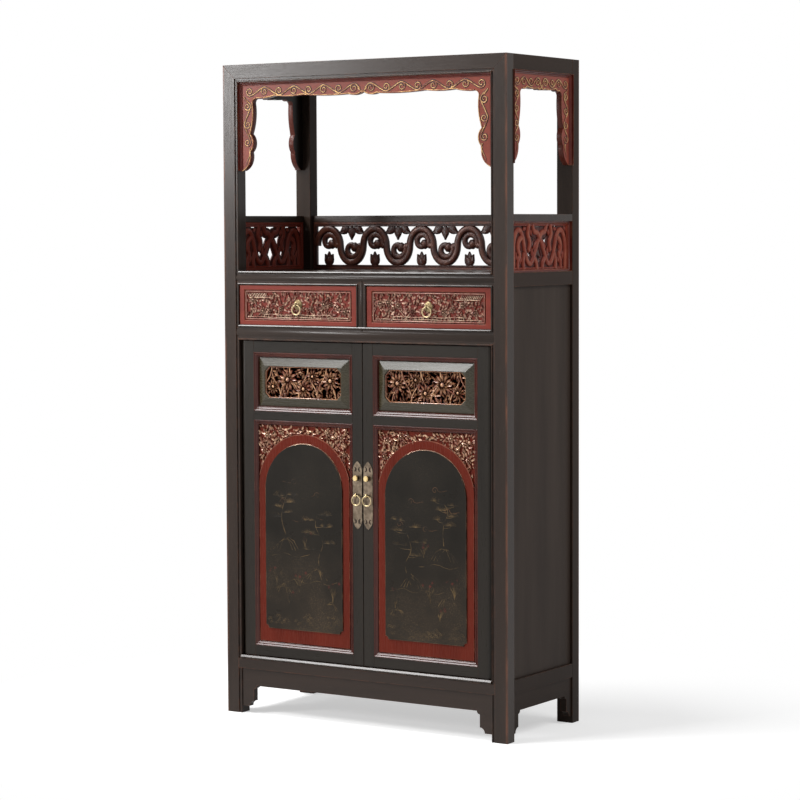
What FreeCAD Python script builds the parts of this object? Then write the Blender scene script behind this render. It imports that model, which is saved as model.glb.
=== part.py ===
import FreeCAD, Part
import math
import os
import Sketcher

# Storage cabinet: an open shelf over two drawers and a pair of pivot-hung doors.
# The origin is on the floor under the middle of the case; the front faces -Y, millimetres.

Vector = FreeCAD.Vector
doc = FreeCAD.newDocument("storage_cabinet")
dims = doc.addObject("Spreadsheet::Sheet", "dims")

SIZES = (
    # Case, posts and the groove and bead along the openings
    ("overall_width", 900),
    ("overall_depth", 380),
    ("overall_height", 1780),
    ("post_width", 48),
    ("post_depth", 36),
    ("bead_width", 4),
    ("groove_width", 6),
    ("groove_depth", 3),
    # Rails and their joints
    ("top_rail_height", 48),
    ("top_end_rail_height", 40),
    ("rail_height", 36),
    ("drawer_rail_height", 41.5),
    ("rail_depth", 30),
    ("end_rail_depth", 30),
    ("rail_crown", 2.4),
    ("shoulder_depth", 6),
    ("tenon_setback", 8),
    ("tenon_thickness", 12),
    ("tenon_margin", 10),
    ("tenon_length", 20),
    ("end_tenon_length", 16),
    # Heights of the openings, from the floor up
    ("base_height", 125),
    ("bottom_rail_height", 37),
    ("bay_height", 513),
    ("drawer_opening_height", 110.5),
    # Panels set in grooves
    ("panel_groove", 8),
    ("panel_thickness", 10),
    ("shelf_thickness", 12),
    ("side_panel_recess", 8),
    ("back_panel_recess", 10),
    ("top_panel_drop", 6),
    ("shelf_panel_drop", 2),
    ("bottom_panel_drop", 13),
    # Aprons round the open bay
    ("apron_thickness", 16),
    ("apron_recess", 13),
    ("apron_height", 44),
    ("apron_leg_width", 43),
    ("apron_leg_length", 196),
    ("apron_corner_radius", 12),
    ("apron_cusp_lift", 5),
    ("apron_notch_lift", 9),
    ("apron_sag", 3),
    ("apron_centre_lobe", 6),
    ("apron_lobe", 11),
    ("apron_tip_width", 9),
    ("end_apron_recess", 7),
    ("end_apron_height", 47),
    ("end_apron_leg_width", 46),
    ("end_apron_leg_length", 193),
    ("end_apron_lobe", 9),
    ("apron_waist_share", 0.8),
    ("upper_cusp_share", 0.49),
    ("lower_cusp_share", 0.74),
    ("centre_lobe_share", 0.11),
    ("inner_cusp_share", 0.485),
    ("outer_cusp_share", 0.715),
    # Gallery
    ("gallery_height", 133),
    ("gallery_rail_height", 18),
    ("gallery_rail_depth", 24),
    ("gallery_tenon_margin", 4),
    ("gallery_thickness", 14),
    ("gallery_recess", 10),
    ("gallery_border", 13),
    ("gallery_vine", 13),
    ("curl_share", 0.5),
    ("curl_sweep_share", 0.82),
    # Base aprons
    ("base_apron_thickness", 18),
    ("base_apron_recess", 4),
    ("base_apron_height", 47),
    ("base_foot_lift", 20),
    ("base_foot_width", 38),
    ("end_foot_width", 27),
    ("base_foot_radius", 15),
    ("base_corner_radius", 9),
    # Drawers, divider and runners
    ("divider_width", 30),
    ("drawer_gap", 1.5),
    ("drawer_recess", 3),
    ("drawer_front_thickness", 22),
    ("drawer_field_depth", 5),
    ("drawer_border", 16),
    ("drawer_border_height", 13),
    ("drawer_rear_gap", 37),
    ("drawer_side_height", 92),
    ("drawer_board_thickness", 10),
    ("drawer_bottom_thickness", 6),
    ("drawer_bottom_lift", 8),
    ("slide_clearance", 0.3),
    ("runner_thickness", 24),
    ("runner_ledge", 20),
    ("guide_height", 28),
    ("guide_clearance", 1),
    # Inner shelf
    ("inner_shelf_share", 0.51),
    ("inner_shelf_clearance", 1),
    ("cleat_width", 20),
    ("cleat_height", 24),
    # Doors
    ("door_gap", 2),
    ("door_recess", 6),
    ("door_thickness", 24),
    ("hinge_stile_width", 42),
    ("meeting_stile_width", 32),
    ("door_top_rail_height", 30.6),
    ("door_upper_opening", 161),
    ("door_middle_rail_height", 24),
    ("door_bottom_rail_height", 28),
    ("door_tenon_length", 16),
    ("door_tenon_thickness", 8),
    ("door_tenon_margin", 5),
    ("pivot_radius", 6),
    ("pivot_length", 10),
    ("pivot_clearance", 0.08),
    ("moulding_width", 14),
    ("moulding_drop", 1),
    ("moulding_bead", 5),
    ("moulding_step", 3),
    ("moulding_fall", 8),
    ("door_back_recess", 4),
    # Door window
    ("window_bevel_width", 23),
    ("window_bevel_rise", 9),
    ("window_chamfer", 14),
    ("lattice_thickness", 10),
    ("lattice_drop", 2),
    ("lattice_border", 5),
    ("lattice_vine", 5),
    ("flower_share", 0.3),
    ("petal_share", 0.6),
    # Door arch
    ("arch_band_rise", 5),
    ("arch_band_width", 22),
    ("arch_band_crown", 24),
    ("arch_foot_height", 37),
    ("arch_head_clear", 23),
    ("arch_notch", 9),
    ("arch_panel_rise", 8),
    # Door and drawer fittings
    ("plate_width", 28.5),
    ("plate_length", 182),
    ("plate_thickness", 1.5),
    ("plate_end_length", 27),
    ("plate_end_bulge", 4),
    ("plate_offset", 17),
    ("plate_level_share", 0.531),
    ("crescent_length", 15),
    ("crescent_offset", 3),
    ("crescent_bulge", 4.4),
    ("crescent_hollow", 1.6),
    ("crescent_end_distance", 21),
    ("stud_radius", 7.5),
    ("stud_length", 13),
    ("stud_rise", 46),
    ("stud_hole_radius", 3.2),
    ("stud_hole_distance", 8),
    ("stud_edge", 1.6),
    ("ring_radius", 13.5),
    ("ring_wire_radius", 2),
    ("ring_clearance", 0.35),
    ("eye_wire_radius", 1.6),
    ("eye_stem_radius", 2.2),
    ("eye_stem_length", 1.5),
    ("rosette_radius", 10.5),
    ("rosette_thickness", 4),
    ("rosette_edge", 2),
    ("drawer_eye_rise", 2),
)
for row, (alias, size) in enumerate(SIZES, start=1):
    dims.set(f"A{row}", alias)
    dims.set(f"B{row}", str(size))
    dims.setAlias(f"B{row}", alias)
doc.recompute()

pieces = []


def number(formula):
    return float(dims.evalExpression(formula))


def piece(label, shape_object):
    shape_object.Label = label
    pieces.append(shape_object)
    return shape_object


def place(thing, x="0", y="0", z="0"):
    for axis, formula in zip("xyz", (x, y, z)):
        thing.setExpression(f"Placement.Base.{axis}", formula)
    return thing


def board(name, x, y, z):
    """A straight board: each axis is a pair of formulas, low then high."""
    box = doc.addObject("Part::Box", name)
    for size, (low, high) in zip(("Length", "Width", "Height"), (x, y, z)):
        box.setExpression(size, f"({high}) - ({low})")
    return place(box, x[0], y[0], z[0])


def fuse(name, shapes):
    joined = doc.addObject("Part::MultiFuse", name)
    joined.Shapes = shapes
    return joined


def cut(name, base, tools):
    tool = tools[0] if len(tools) == 1 else fuse(name + "_cutters", tools)
    worked = doc.addObject("Part::Cut", name)
    worked.Base = base
    worked.Tool = tool
    return worked


def common(name, base, tool):
    trimmed = doc.addObject("Part::Common", name)
    trimmed.Base = base
    trimmed.Tool = tool
    return trimmed


def group(name, members):
    together = doc.addObject("Part::Compound", name)
    together.Links = members
    return together


def mirrored(name, source, normal=Vector(1, 0, 0)):
    twin = doc.addObject("Part::Mirroring", name)
    twin.Source = source
    twin.Base = Vector(0, 0, 0)
    twin.Normal = normal
    return twin


def draw(sketch, outline):
    """Closes a loop through corners given as formulas, an arc where a corner has a third formula.

    The third formula is how far the arc to the next corner stands off its chord, to the left.
    """
    corners = [Vector(number(corner[0]), number(corner[1]), 0) for corner in outline]
    loop = []
    rules = []
    formulas = []
    for here, corner in enumerate(outline):
        ahead = (here + 1) % len(outline)
        start, end = corners[here], corners[ahead]
        if len(corner) == 2:
            edge = sketch.addGeometry(Part.LineSegment(start, end))
            loop.append((edge, 1, 2))
            continue
        chord = end - start
        side = Vector(-chord.y, chord.x, 0).normalize()
        middle = (start + end) * 0.5 + side * number(corner[2])
        edge = sketch.addGeometry(Part.Arc(start, middle, end))
        forward = sketch.getPoint(edge, 1).distanceToPoint(start) < sketch.getPoint(edge, 2).distanceToPoint(start)
        loop.append((edge, 1, 2) if forward else (edge, 2, 1))
        across = f"(({outline[ahead][0]}) - ({corner[0]}))"
        along = f"(({outline[ahead][1]}) - ({corner[1]}))"
        length = f"sqrt({across} ^ 2 + {along} ^ 2)"
        offset = f"(({corner[2]}) / 2 - {length} ^ 2 / (8 * ({corner[2]}))) / {length}"
        if abs(chord.x) > abs(chord.y):
            centre = f"(({corner[1]}) + ({outline[ahead][1]})) / 2 + {across} * {offset}"
            rules.append(Sketcher.Constraint("DistanceY", -1, 1, edge, 3, number(centre)))
        else:
            centre = f"(({corner[0]}) + ({outline[ahead][0]})) / 2 - {along} * {offset}"
            rules.append(Sketcher.Constraint("DistanceX", -1, 1, edge, 3, number(centre)))
        formulas.append(centre)
    for here, (edge, first, last) in enumerate(loop):
        following, entry = loop[(here + 1) % len(loop)][:2]
        rules.append(Sketcher.Constraint("Coincident", edge, last, following, entry))
        formulas.append(None)
        for axis, kind in enumerate(("DistanceX", "DistanceY")):
            rules.append(Sketcher.Constraint(kind, -1, 1, edge, first, corners[here][axis]))
            formulas.append(outline[here][axis])
    first_rule = sketch.ConstraintCount
    sketch.addConstraint(rules)
    for offset, formula in enumerate(formulas):
        if formula is not None:
            sketch.setExpression(f"Constraints[{first_rule + offset}]", formula)


def new_sketch(body, name, plane):
    sketch = body.newObject("Sketcher::SketchObject", name)
    support = next(feature for feature in body.Origin.OriginFeatures if feature.Role == plane)
    sketch.AttachmentSupport = (support, [""])
    sketch.MapMode = "FlatFace"
    return sketch


def prism(name, plane, outlines, length):
    """Pads the loops of one sketch: +Z from XY_Plane, -Y from XZ_Plane, +X from YZ_Plane."""
    body = doc.addObject("PartDesign::Body", name)
    sketch = new_sketch(body, name + "_outline", plane)
    for outline in outlines:
        draw(sketch, outline)
    pad = body.newObject("PartDesign::Pad", name + "_pad")
    pad.Profile = sketch
    pad.setExpression("Length", length)
    body.Tip = pad
    return body


def rod(name, radius, length, direction):
    cylinder = doc.addObject("Part::Cylinder", name)
    cylinder.setExpression("Radius", radius)
    cylinder.setExpression("Height", length)
    cylinder.Placement.Rotation = FreeCAD.Rotation(Vector(0, 0, 1), direction)
    return cylinder


def filed_bar(name, sides, radius, length, direction):
    """A short bar filed to flats, standing on its end."""
    bar = doc.addObject("Part::Prism", name)
    bar.Polygon = sides
    bar.setExpression("Circumradius", radius)
    bar.setExpression("Height", length)
    bar.Placement.Rotation = FreeCAD.Rotation(Vector(0, 0, 1), direction)
    return bar


# Planes that several pieces share
HALF_WIDTH = "(dims.overall_width / 2)"
HALF_DEPTH = "(dims.overall_depth / 2)"
FRONT = f"(-{HALF_DEPTH})"
INNER = f"({HALF_WIDTH} - dims.post_width)"
END_INNER = f"({HALF_DEPTH} - dims.post_depth)"
BEAD_ZONE = "(dims.bead_width + dims.groove_width)"
BOTTOM_RAIL_TOP = "(dims.base_height + dims.bottom_rail_height)"
TOP_RAIL_LOW = "(dims.overall_height - dims.top_rail_height)"
SHELF_TOP = f"({TOP_RAIL_LOW} - dims.bay_height)"
SHELF_RAIL_LOW = f"({SHELF_TOP} - dims.rail_height)"
DRAWER_RAIL_TOP = f"({SHELF_RAIL_LOW} - dims.drawer_opening_height)"
DRAWER_RAIL_LOW = f"({DRAWER_RAIL_TOP} - dims.drawer_rail_height)"
GALLERY_LOW = SHELF_TOP
GALLERY_TOP = f"({GALLERY_LOW} + dims.gallery_height)"
SIDE_PANEL_OUT = f"({HALF_WIDTH} - dims.side_panel_recess)"
SIDE_PANEL_IN = f"({SIDE_PANEL_OUT} - dims.panel_thickness)"
GROOVE_FLOOR = f"({FRONT} + dims.groove_depth)"
BEAD_FOOT = f"({FRONT} + dims.bead_width / 2)"
RAIL_BACK = f"({FRONT} + dims.rail_depth)"
TENON_FRONT = f"({FRONT} + dims.tenon_setback)"
TENON_BACK = f"({TENON_FRONT} + dims.tenon_thickness)"

# Rail tenons: one bar through each rail makes the tenon at both ends and the mortise in both posts
LEVELS = {
    "top": (TOP_RAIL_LOW, "dims.overall_height"),
    "shelf": (SHELF_RAIL_LOW, SHELF_TOP),
    "drawer": (DRAWER_RAIL_LOW, DRAWER_RAIL_TOP),
    "bottom": ("dims.base_height", BOTTOM_RAIL_TOP),
}
END_TOP_LOW = "(dims.overall_height - dims.top_end_rail_height)"
END_LEVELS = {**LEVELS, "top": (END_TOP_LOW, "dims.overall_height")}
FRONT_REACH = f"({INNER} + dims.tenon_length)"
END_REACH = f"({END_INNER} + dims.end_tenon_length)"
END_TENON_OUT = f"({HALF_WIDTH} - dims.tenon_setback)"
END_TENON_IN = f"({END_TENON_OUT} - dims.tenon_thickness)"
front_bars = {}
rear_bars = {}
end_bars = {}
for level, (low, high) in LEVELS.items():
    bar_heights = (f"{low} + dims.tenon_margin", f"{high} - dims.tenon_margin")
    bar_length = (f"-{FRONT_REACH}", FRONT_REACH)
    front_bars[level] = board(f"{level}_front_tenon", bar_length, (TENON_FRONT, TENON_BACK), bar_heights)
    if level == "drawer":
        continue
    rear_bars[level] = board(f"{level}_rear_tenon", bar_length, (f"-{TENON_BACK}", f"-{TENON_FRONT}"), bar_heights)
    end_low, end_high = END_LEVELS[level]
    end_bars[level] = board(
        f"{level}_end_tenon", (f"-{END_TENON_OUT}", f"-{END_TENON_IN}"), (f"-{END_REACH}", END_REACH),
        (f"{end_low} + dims.tenon_margin", f"{end_high} - dims.tenon_margin"))

# Panels in grooves, notched round the posts where they reach into the corners
post_blanks = group("post_blanks", [
    board("post_blank", x_span, y_span, ("0", "dims.overall_height"))
    for x_span in ((f"-{HALF_WIDTH}", f"-{INNER}"), (INNER, HALF_WIDTH))
    for y_span in ((FRONT, f"-{END_INNER}"), (END_INNER, HALF_DEPTH))])
PANEL_HALF_WIDTH = f"({HALF_WIDTH} - dims.end_rail_depth + dims.panel_groove)"
PANEL_HALF_DEPTH = f"({HALF_DEPTH} - dims.rail_depth + dims.panel_groove)"


def level_panel(label, top):
    sheet = board(
        label + "_board", (f"-{PANEL_HALF_WIDTH}", PANEL_HALF_WIDTH), (f"-{PANEL_HALF_DEPTH}", PANEL_HALF_DEPTH),
        (f"{top} - dims.shelf_thickness", top))
    return piece(label, cut(label, sheet, [post_blanks]))


top_panel = level_panel("top_panel", "(dims.overall_height - dims.top_panel_drop)")
shelf_panel = level_panel("shelf_panel", f"({SHELF_TOP} - dims.shelf_panel_drop)")
bottom_panel = level_panel("bottom_panel", f"({BOTTOM_RAIL_TOP} - dims.bottom_panel_drop)")
left_side_panel = board(
    "left_side_panel", (f"-{SIDE_PANEL_OUT}", f"-{SIDE_PANEL_IN}"),
    (f"-({END_INNER} + dims.panel_groove)", f"{END_INNER} + dims.panel_groove"),
    (f"{BOTTOM_RAIL_TOP} - dims.panel_groove", f"{SHELF_RAIL_LOW} + dims.panel_groove"))
piece("side_panels", group("side_panels", [left_side_panel, mirrored("right_side_panel", left_side_panel)]))
BACK_PANEL_REAR = f"({HALF_DEPTH} - dims.back_panel_recess)"
BACK_PANEL_FACE = f"({BACK_PANEL_REAR} - dims.panel_thickness)"
back_panel = piece("back_panel", board(
    "back_panel", (f"-({INNER} + dims.panel_groove)", f"{INNER} + dims.panel_groove"),
    (BACK_PANEL_FACE, BACK_PANEL_REAR),
    (f"{BOTTOM_RAIL_TOP} - dims.panel_groove", f"{SHELF_RAIL_LOW} + dims.panel_groove")))


# Front rails: pointed shoulders lap the bead of the post, so the beads meet in mitres
def planed_bead(first, last, crest=FRONT, foot=BEAD_FOOT):
    """Corners of a bead planed in three flats, as places along its width and depths."""
    quarter = f"(({last}) - ({first})) / 4"
    return [(first, foot), (f"{first} + {quarter}", crest), (f"{last} - {quarter}", crest), (last, foot)]


def rail_profile(name, low, high, half_length, upper_bead, lower_bead):
    outline = [(RAIL_BACK, low), (RAIL_BACK, high)]
    if upper_bead:
        outline += [(depth, level) for level, depth in planed_bead(high, f"{high} - dims.bead_width")]
        outline += [(GROOVE_FLOOR, f"{high} - dims.bead_width")]
    else:
        outline += [(FRONT, high)]
    crowned = upper_bead and lower_bead
    if crowned:
        outline += [(GROOVE_FLOOR, f"{high} - {BEAD_ZONE}", "-dims.rail_crown")]
    elif upper_bead:
        outline += [(GROOVE_FLOOR, f"{high} - {BEAD_ZONE}"), (FRONT, f"{high} - {BEAD_ZONE}")]
    if lower_bead:
        if not crowned:
            outline += [(FRONT, f"{low} + {BEAD_ZONE}")]
        outline += [(GROOVE_FLOOR, f"{low} + {BEAD_ZONE}"), (GROOVE_FLOOR, f"{low} + dims.bead_width")]
        outline += [(depth, level) for level, depth in planed_bead(f"{low} + dims.bead_width", low)]
    else:
        outline += [(FRONT, low)]
    bar = prism(name, "YZ_Plane", [outline], f"2 * ({half_length})")
    return place(bar, x=f"-({half_length})")


def front_shoulder(name, outline):
    lap = prism(name, "XZ_Plane", [outline], "dims.shoulder_depth")
    return place(lap, y=f"{FRONT} + dims.shoulder_depth")


SHOULDER_REACH = f"({INNER} + {BEAD_ZONE})"
shoulders = {}
front_stock = {}
for level, (low, high) in LEVELS.items():
    reach = HALF_WIDTH if level == "top" else SHOULDER_REACH
    right_side = [(INNER, low), (reach, f"{low} + {BEAD_ZONE}"), (reach, f"{high} - {BEAD_ZONE}"), (INNER, high)]
    if level == "top":
        right_side = [(INNER, low), (reach, high)]
    if level == "bottom":
        right_side = [(INNER, low), (reach, low), (reach, f"{high} - {BEAD_ZONE}"), (INNER, high)]
    left_side = [(f"-{x}", z) for x, z in reversed(right_side)]
    shoulders[level] = front_shoulder(f"{level}_shoulder", right_side + left_side)
    stock = rail_profile(f"{level}_rail_stock", low, high, reach, level != "top", level != "bottom")
    core = board(f"{level}_rail_core", (f"-{INNER}", INNER), (FRONT, RAIL_BACK), (low, high))
    extent = fuse(f"{level}_rail_extent", [core, shoulders[level]])
    trimmed = common(f"{level}_rail_trimmed", stock, extent)
    front_stock[level] = fuse(f"{level}_rail_tenoned", [trimmed, front_bars[level]])

# Drawer divider: the same bead on both edges, tenoned and mitred into the two rails
HALF_DIVIDER = "(dims.divider_width / 2)"
DIVIDER_LOW = f"({DRAWER_RAIL_TOP} - {BEAD_ZONE})"
DIVIDER_HIGH = f"({SHELF_RAIL_LOW} + {BEAD_ZONE})"
DIVIDER_FACE = f"({HALF_DIVIDER} - {BEAD_ZONE})"
DIVIDER_BEAD = f"({HALF_DIVIDER} - dims.bead_width)"
divider_stock = place(prism("divider_stock", "XY_Plane", [[
    (f"-{HALF_DIVIDER}", RAIL_BACK),
    *planed_bead(f"-{HALF_DIVIDER}", f"-{DIVIDER_BEAD}"),
    (f"-{DIVIDER_BEAD}", GROOVE_FLOOR),
    (f"-{DIVIDER_FACE}", GROOVE_FLOOR, "-dims.rail_crown"),
    (DIVIDER_FACE, GROOVE_FLOOR),
    (DIVIDER_BEAD, GROOVE_FLOOR),
    *planed_bead(DIVIDER_BEAD, HALF_DIVIDER),
    (HALF_DIVIDER, RAIL_BACK),
]], f"{DIVIDER_HIGH} - {DIVIDER_LOW}"), z=DIVIDER_LOW)
divider_shoulder = front_shoulder("divider_shoulder", [
    (f"-{HALF_DIVIDER}", DRAWER_RAIL_TOP), (f"-{DIVIDER_FACE}", DIVIDER_LOW), (DIVIDER_FACE, DIVIDER_LOW),
    (HALF_DIVIDER, DRAWER_RAIL_TOP), (HALF_DIVIDER, SHELF_RAIL_LOW), (DIVIDER_FACE, DIVIDER_HIGH),
    (f"-{DIVIDER_FACE}", DIVIDER_HIGH), (f"-{HALF_DIVIDER}", SHELF_RAIL_LOW)])
divider_core = board(
    "divider_core", (f"-{HALF_DIVIDER}", HALF_DIVIDER), (FRONT, RAIL_BACK), (DRAWER_RAIL_TOP, SHELF_RAIL_LOW))
divider_extent = fuse("divider_extent", [divider_core, divider_shoulder])
divider_bar = board(
    "divider_tenon", (f"-{DIVIDER_BEAD}", DIVIDER_BEAD), (TENON_FRONT, TENON_BACK),
    (f"{DRAWER_RAIL_TOP} - dims.tenon_margin", f"{SHELF_RAIL_LOW} + dims.tenon_margin"))
piece("drawer_divider", fuse(
    "drawer_divider", [common("divider_trimmed", divider_stock, divider_extent), divider_bar]))

# Door pivots turn in round sockets in the drawer rail and the bottom rail
DOOR_FACE = f"({FRONT} + dims.door_recess)"
DOOR_BACK = f"({DOOR_FACE} + dims.door_thickness)"
DOOR_LOW = f"({BOTTOM_RAIL_TOP} + dims.door_gap)"
DOOR_TOP = f"({DRAWER_RAIL_LOW} - dims.door_gap)"
DOOR_OUTER = f"({INNER} - dims.door_gap)"
PIVOT_X = f"({DOOR_OUTER} - dims.door_thickness / 2)"
PIVOT_Y = f"({DOOR_FACE} + dims.door_thickness / 2)"
socket = rod(
    "pivot_socket", "dims.pivot_radius + dims.pivot_clearance",
    f"{DRAWER_RAIL_LOW} - {BOTTOM_RAIL_TOP} + 2 * dims.pivot_length", Vector(0, 0, 1))
place(socket, f"-{PIVOT_X}", PIVOT_Y, f"{BOTTOM_RAIL_TOP} - dims.pivot_length")
sockets = [socket, mirrored("right_pivot_socket", socket)]

piece("top_front_rail", cut("top_front_rail", front_stock["top"], [top_panel]))
piece("shelf_front_rail", cut(
    "shelf_front_rail", front_stock["shelf"], [shelf_panel, divider_bar, divider_shoulder]))
piece("drawer_rail", cut("drawer_rail", front_stock["drawer"], [divider_bar, divider_shoulder] + sockets))
piece("bottom_front_rail", cut("bottom_front_rail", front_stock["bottom"], [bottom_panel] + sockets))

# Rear and end rails, plain, grooved for the panels
level_panels = {"top": top_panel, "shelf": shelf_panel, "bottom": bottom_panel}
for level in ("top", "shelf", "bottom"):
    low, high = LEVELS[level]
    straight = board(
        f"{level}_rear_stock", (f"-{INNER}", INNER), (f"{HALF_DEPTH} - dims.rail_depth", HALF_DEPTH), (low, high))
    cutters = [level_panels[level]] if level == "top" else [level_panels[level], back_panel]
    tenoned = fuse(f"{level}_rear_tenoned", [straight, rear_bars[level]])
    piece(f"{level}_rear_rail", cut(f"{level}_rear_rail", tenoned, cutters))
    straight = board(
        f"{level}_end_stock", (f"-{HALF_WIDTH}", f"-({HALF_WIDTH} - dims.end_rail_depth)"),
        (f"-{END_INNER}", END_INNER), END_LEVELS[level])
    cutters = [level_panels[level]] if level == "top" else [level_panels[level], left_side_panel]
    tenoned = fuse(f"{level}_end_tenoned", [straight, end_bars[level]])
    left_rail = cut(f"{level}_left_rail", tenoned, cutters)
    piece(f"{level}_end_rails", group(f"{level}_end_rails", [left_rail, mirrored(f"{level}_right_rail", left_rail)]))

# Gallery rails round the back and ends of the open shelf
GALLERY_RAIL_TOP = f"({GALLERY_TOP} + dims.gallery_rail_height)"
GALLERY_BAR = (f"{GALLERY_TOP} + dims.gallery_tenon_margin", f"{GALLERY_RAIL_TOP} - dims.gallery_tenon_margin")
rear_bars["gallery"] = board(
    "gallery_rear_tenon", (f"-{FRONT_REACH}", FRONT_REACH), (f"-{TENON_BACK}", f"-{TENON_FRONT}"), GALLERY_BAR)
end_bars["gallery"] = board(
    "gallery_end_tenon", (f"-{END_TENON_OUT}", f"-{END_TENON_IN}"), (f"-{END_REACH}", END_REACH), GALLERY_BAR)
gallery_rear_rail = fuse("gallery_rear_rail", [
    board("gallery_rear_stock", (f"-{INNER}", INNER), (f"{HALF_DEPTH} - dims.gallery_rail_depth", HALF_DEPTH),
          (GALLERY_TOP, GALLERY_RAIL_TOP)),
    rear_bars["gallery"]])
gallery_left_rail = fuse("gallery_left_rail", [
    board("gallery_end_stock", (f"-{HALF_WIDTH}", f"-({HALF_WIDTH} - dims.gallery_rail_depth)"),
          (f"-{END_INNER}", END_INNER), (GALLERY_TOP, GALLERY_RAIL_TOP)),
    end_bars["gallery"]])
piece("gallery_rails", group(
    "gallery_rails", [gallery_rear_rail, gallery_left_rail, mirrored("gallery_right_rail", gallery_left_rail)]))

# Posts: the front pair carries the groove and bead, all four are mortised for the rails
front_post_stock = prism("front_post_stock", "XY_Plane", [[
    (f"-{HALF_WIDTH}", FRONT),
    (f"-({INNER} + {BEAD_ZONE})", FRONT),
    (f"-({INNER} + {BEAD_ZONE})", GROOVE_FLOOR),
    (f"-({INNER} + dims.bead_width)", GROOVE_FLOOR),
    *planed_bead(f"-({INNER} + dims.bead_width)", f"-{INNER}"),
    (f"-{INNER}", f"-{END_INNER}"),
    (f"-{HALF_WIDTH}", f"-{END_INNER}"),
]], "dims.overall_height")
front_left_post = piece("front_left_post", cut(
    "front_left_post", front_post_stock,
    list(front_bars.values()) + list(end_bars.values()) + list(shoulders.values()) + [left_side_panel]))
piece("front_right_post", mirrored("front_right_post", front_left_post))
rear_post_stock = board(
    "rear_post_stock", (f"-{HALF_WIDTH}", f"-{INNER}"), (END_INNER, HALF_DEPTH), ("0", "dims.overall_height"))
rear_left_post = piece("rear_left_post", cut(
    "rear_left_post", rear_post_stock,
    list(rear_bars.values()) + list(end_bars.values()) + [left_side_panel, back_panel]))
piece("rear_right_post", mirrored("rear_right_post", rear_left_post))


# Aprons round the open bay: a top board with cusps and legs that end in three lobes
def apron_top(name, plane, half_span, height, leg_width, cusp_shares):
    leg_line = f"({half_span} - {leg_width} - dims.apron_corner_radius)"
    cusp_z = f"(dims.apron_cusp_lift - {height})"
    lobe_start = (f"{half_span} * dims.centre_lobe_share", f"-{height} + dims.apron_cusp_lift / 2")
    cusps = [(f"{half_span} * {share}", cusp_z) for share in cusp_shares]
    right_stops = [(leg_line, f"-{height}")] + cusps + [lobe_start]
    notch = ("0", f"dims.apron_notch_lift - {height}")
    left_stops = [(f"-{x}", z) for x, z in reversed(right_stops)]
    bulges = ["dims.apron_sag"] * (len(right_stops) - 1) + ["dims.apron_centre_lobe"]
    lower_edge = [stop + (bulge,) for stop, bulge in zip(right_stops + [notch] + left_stops, bulges + bulges[::-1])]
    outline = [(f"-{half_span}", f"-{height}"), (f"-{half_span}", "0"), (half_span, "0"), (half_span, f"-{height}")]
    return prism(name, plane, [outline + lower_edge + left_stops[-1:]], "dims.apron_thickness")


def apron_leg(name, plane, start, width, length, lobe):
    waist = f"({width} * dims.apron_waist_share)"
    corner = "dims.apron_corner_radius"
    outline = [
        (start, f"-{length}"),
        (start, "0"),
        (f"{start} + {width} + {corner}", "0", f"-{corner} * (1 - sqrt(0.5))"),
        (f"{start} + {width}", f"-{corner}", f"{lobe} / 2"),
        (f"{start} + {waist}", f"-{length} * dims.upper_cusp_share", lobe),
        (f"{start} + {waist}", f"-{length} * dims.lower_cusp_share", lobe),
        (f"{start} + dims.apron_tip_width", f"-{length}"),
    ]
    return prism(name, plane, [outline], "dims.apron_thickness")


APRON_BACK = f"({FRONT} + dims.apron_recess + dims.apron_thickness)"
piece("front_apron_top", place(
    apron_top("front_apron_top", "XZ_Plane", INNER, "dims.apron_height", "dims.apron_leg_width",
              ("dims.outer_cusp_share", "dims.inner_cusp_share")),
    y=APRON_BACK, z=TOP_RAIL_LOW))
left_apron_leg = place(
    apron_leg("left_apron_leg", "XZ_Plane", f"-{INNER}", "dims.apron_leg_width", "dims.apron_leg_length",
              "dims.apron_lobe"),
    y=APRON_BACK, z=f"{TOP_RAIL_LOW} - dims.apron_height")
piece("front_apron_legs", group(
    "front_apron_legs", [left_apron_leg, mirrored("right_apron_leg", left_apron_leg)]))
END_APRON_OUT = f"({HALF_WIDTH} - dims.end_apron_recess)"
end_apron_top = place(
    apron_top("end_apron_top", "YZ_Plane", END_INNER, "dims.end_apron_height", "dims.end_apron_leg_width",
              ("dims.inner_cusp_share",)),
    x=f"-{END_APRON_OUT}", z=END_TOP_LOW)
end_apron_leg = place(
    apron_leg("end_apron_leg", "YZ_Plane", f"-{END_INNER}", "dims.end_apron_leg_width",
              "dims.end_apron_leg_length", "dims.end_apron_lobe"),
    x=f"-{END_APRON_OUT}", z=f"{END_TOP_LOW} - dims.end_apron_height")
end_apron_rear_leg = mirrored("end_apron_rear_leg", end_apron_leg, Vector(0, 1, 0))
left_apron = group("left_end_apron", [end_apron_top, end_apron_leg, end_apron_rear_leg])
piece("end_aprons", group("end_aprons", [left_apron, mirrored("right_end_apron", left_apron)]))


# Pierced scrollwork: a vine of half circles in a border, a curl and a bud inside every turn
def padded_polygon(points, thickness):
    return Part.Face(Part.makePolygon(points + points[:1])).extrude(Vector(0, 0, thickness))


def arc_points(centre, radius, start, sweep):
    """Points of a circle by its formula, a facet for every twenty-four degrees or so."""
    facets = max(2, round(abs(sweep) / 24))
    angles = [math.radians(start + sweep * step / facets) for step in range(facets + 1)]
    return [centre + Vector(math.cos(angle), math.sin(angle), 0) * radius for angle in angles]


def vine_arc(centre, radius, band, start, sweep, thickness):
    outer = arc_points(centre, radius + band / 2, start, sweep)
    inner = arc_points(centre, radius - band / 2, start, sweep)
    return padded_polygon(outer + inner[::-1], thickness)


def bud(centre, radius, thickness):
    return padded_polygon(arc_points(centre, radius, 0, 360)[::2][:-1], thickness)


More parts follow.
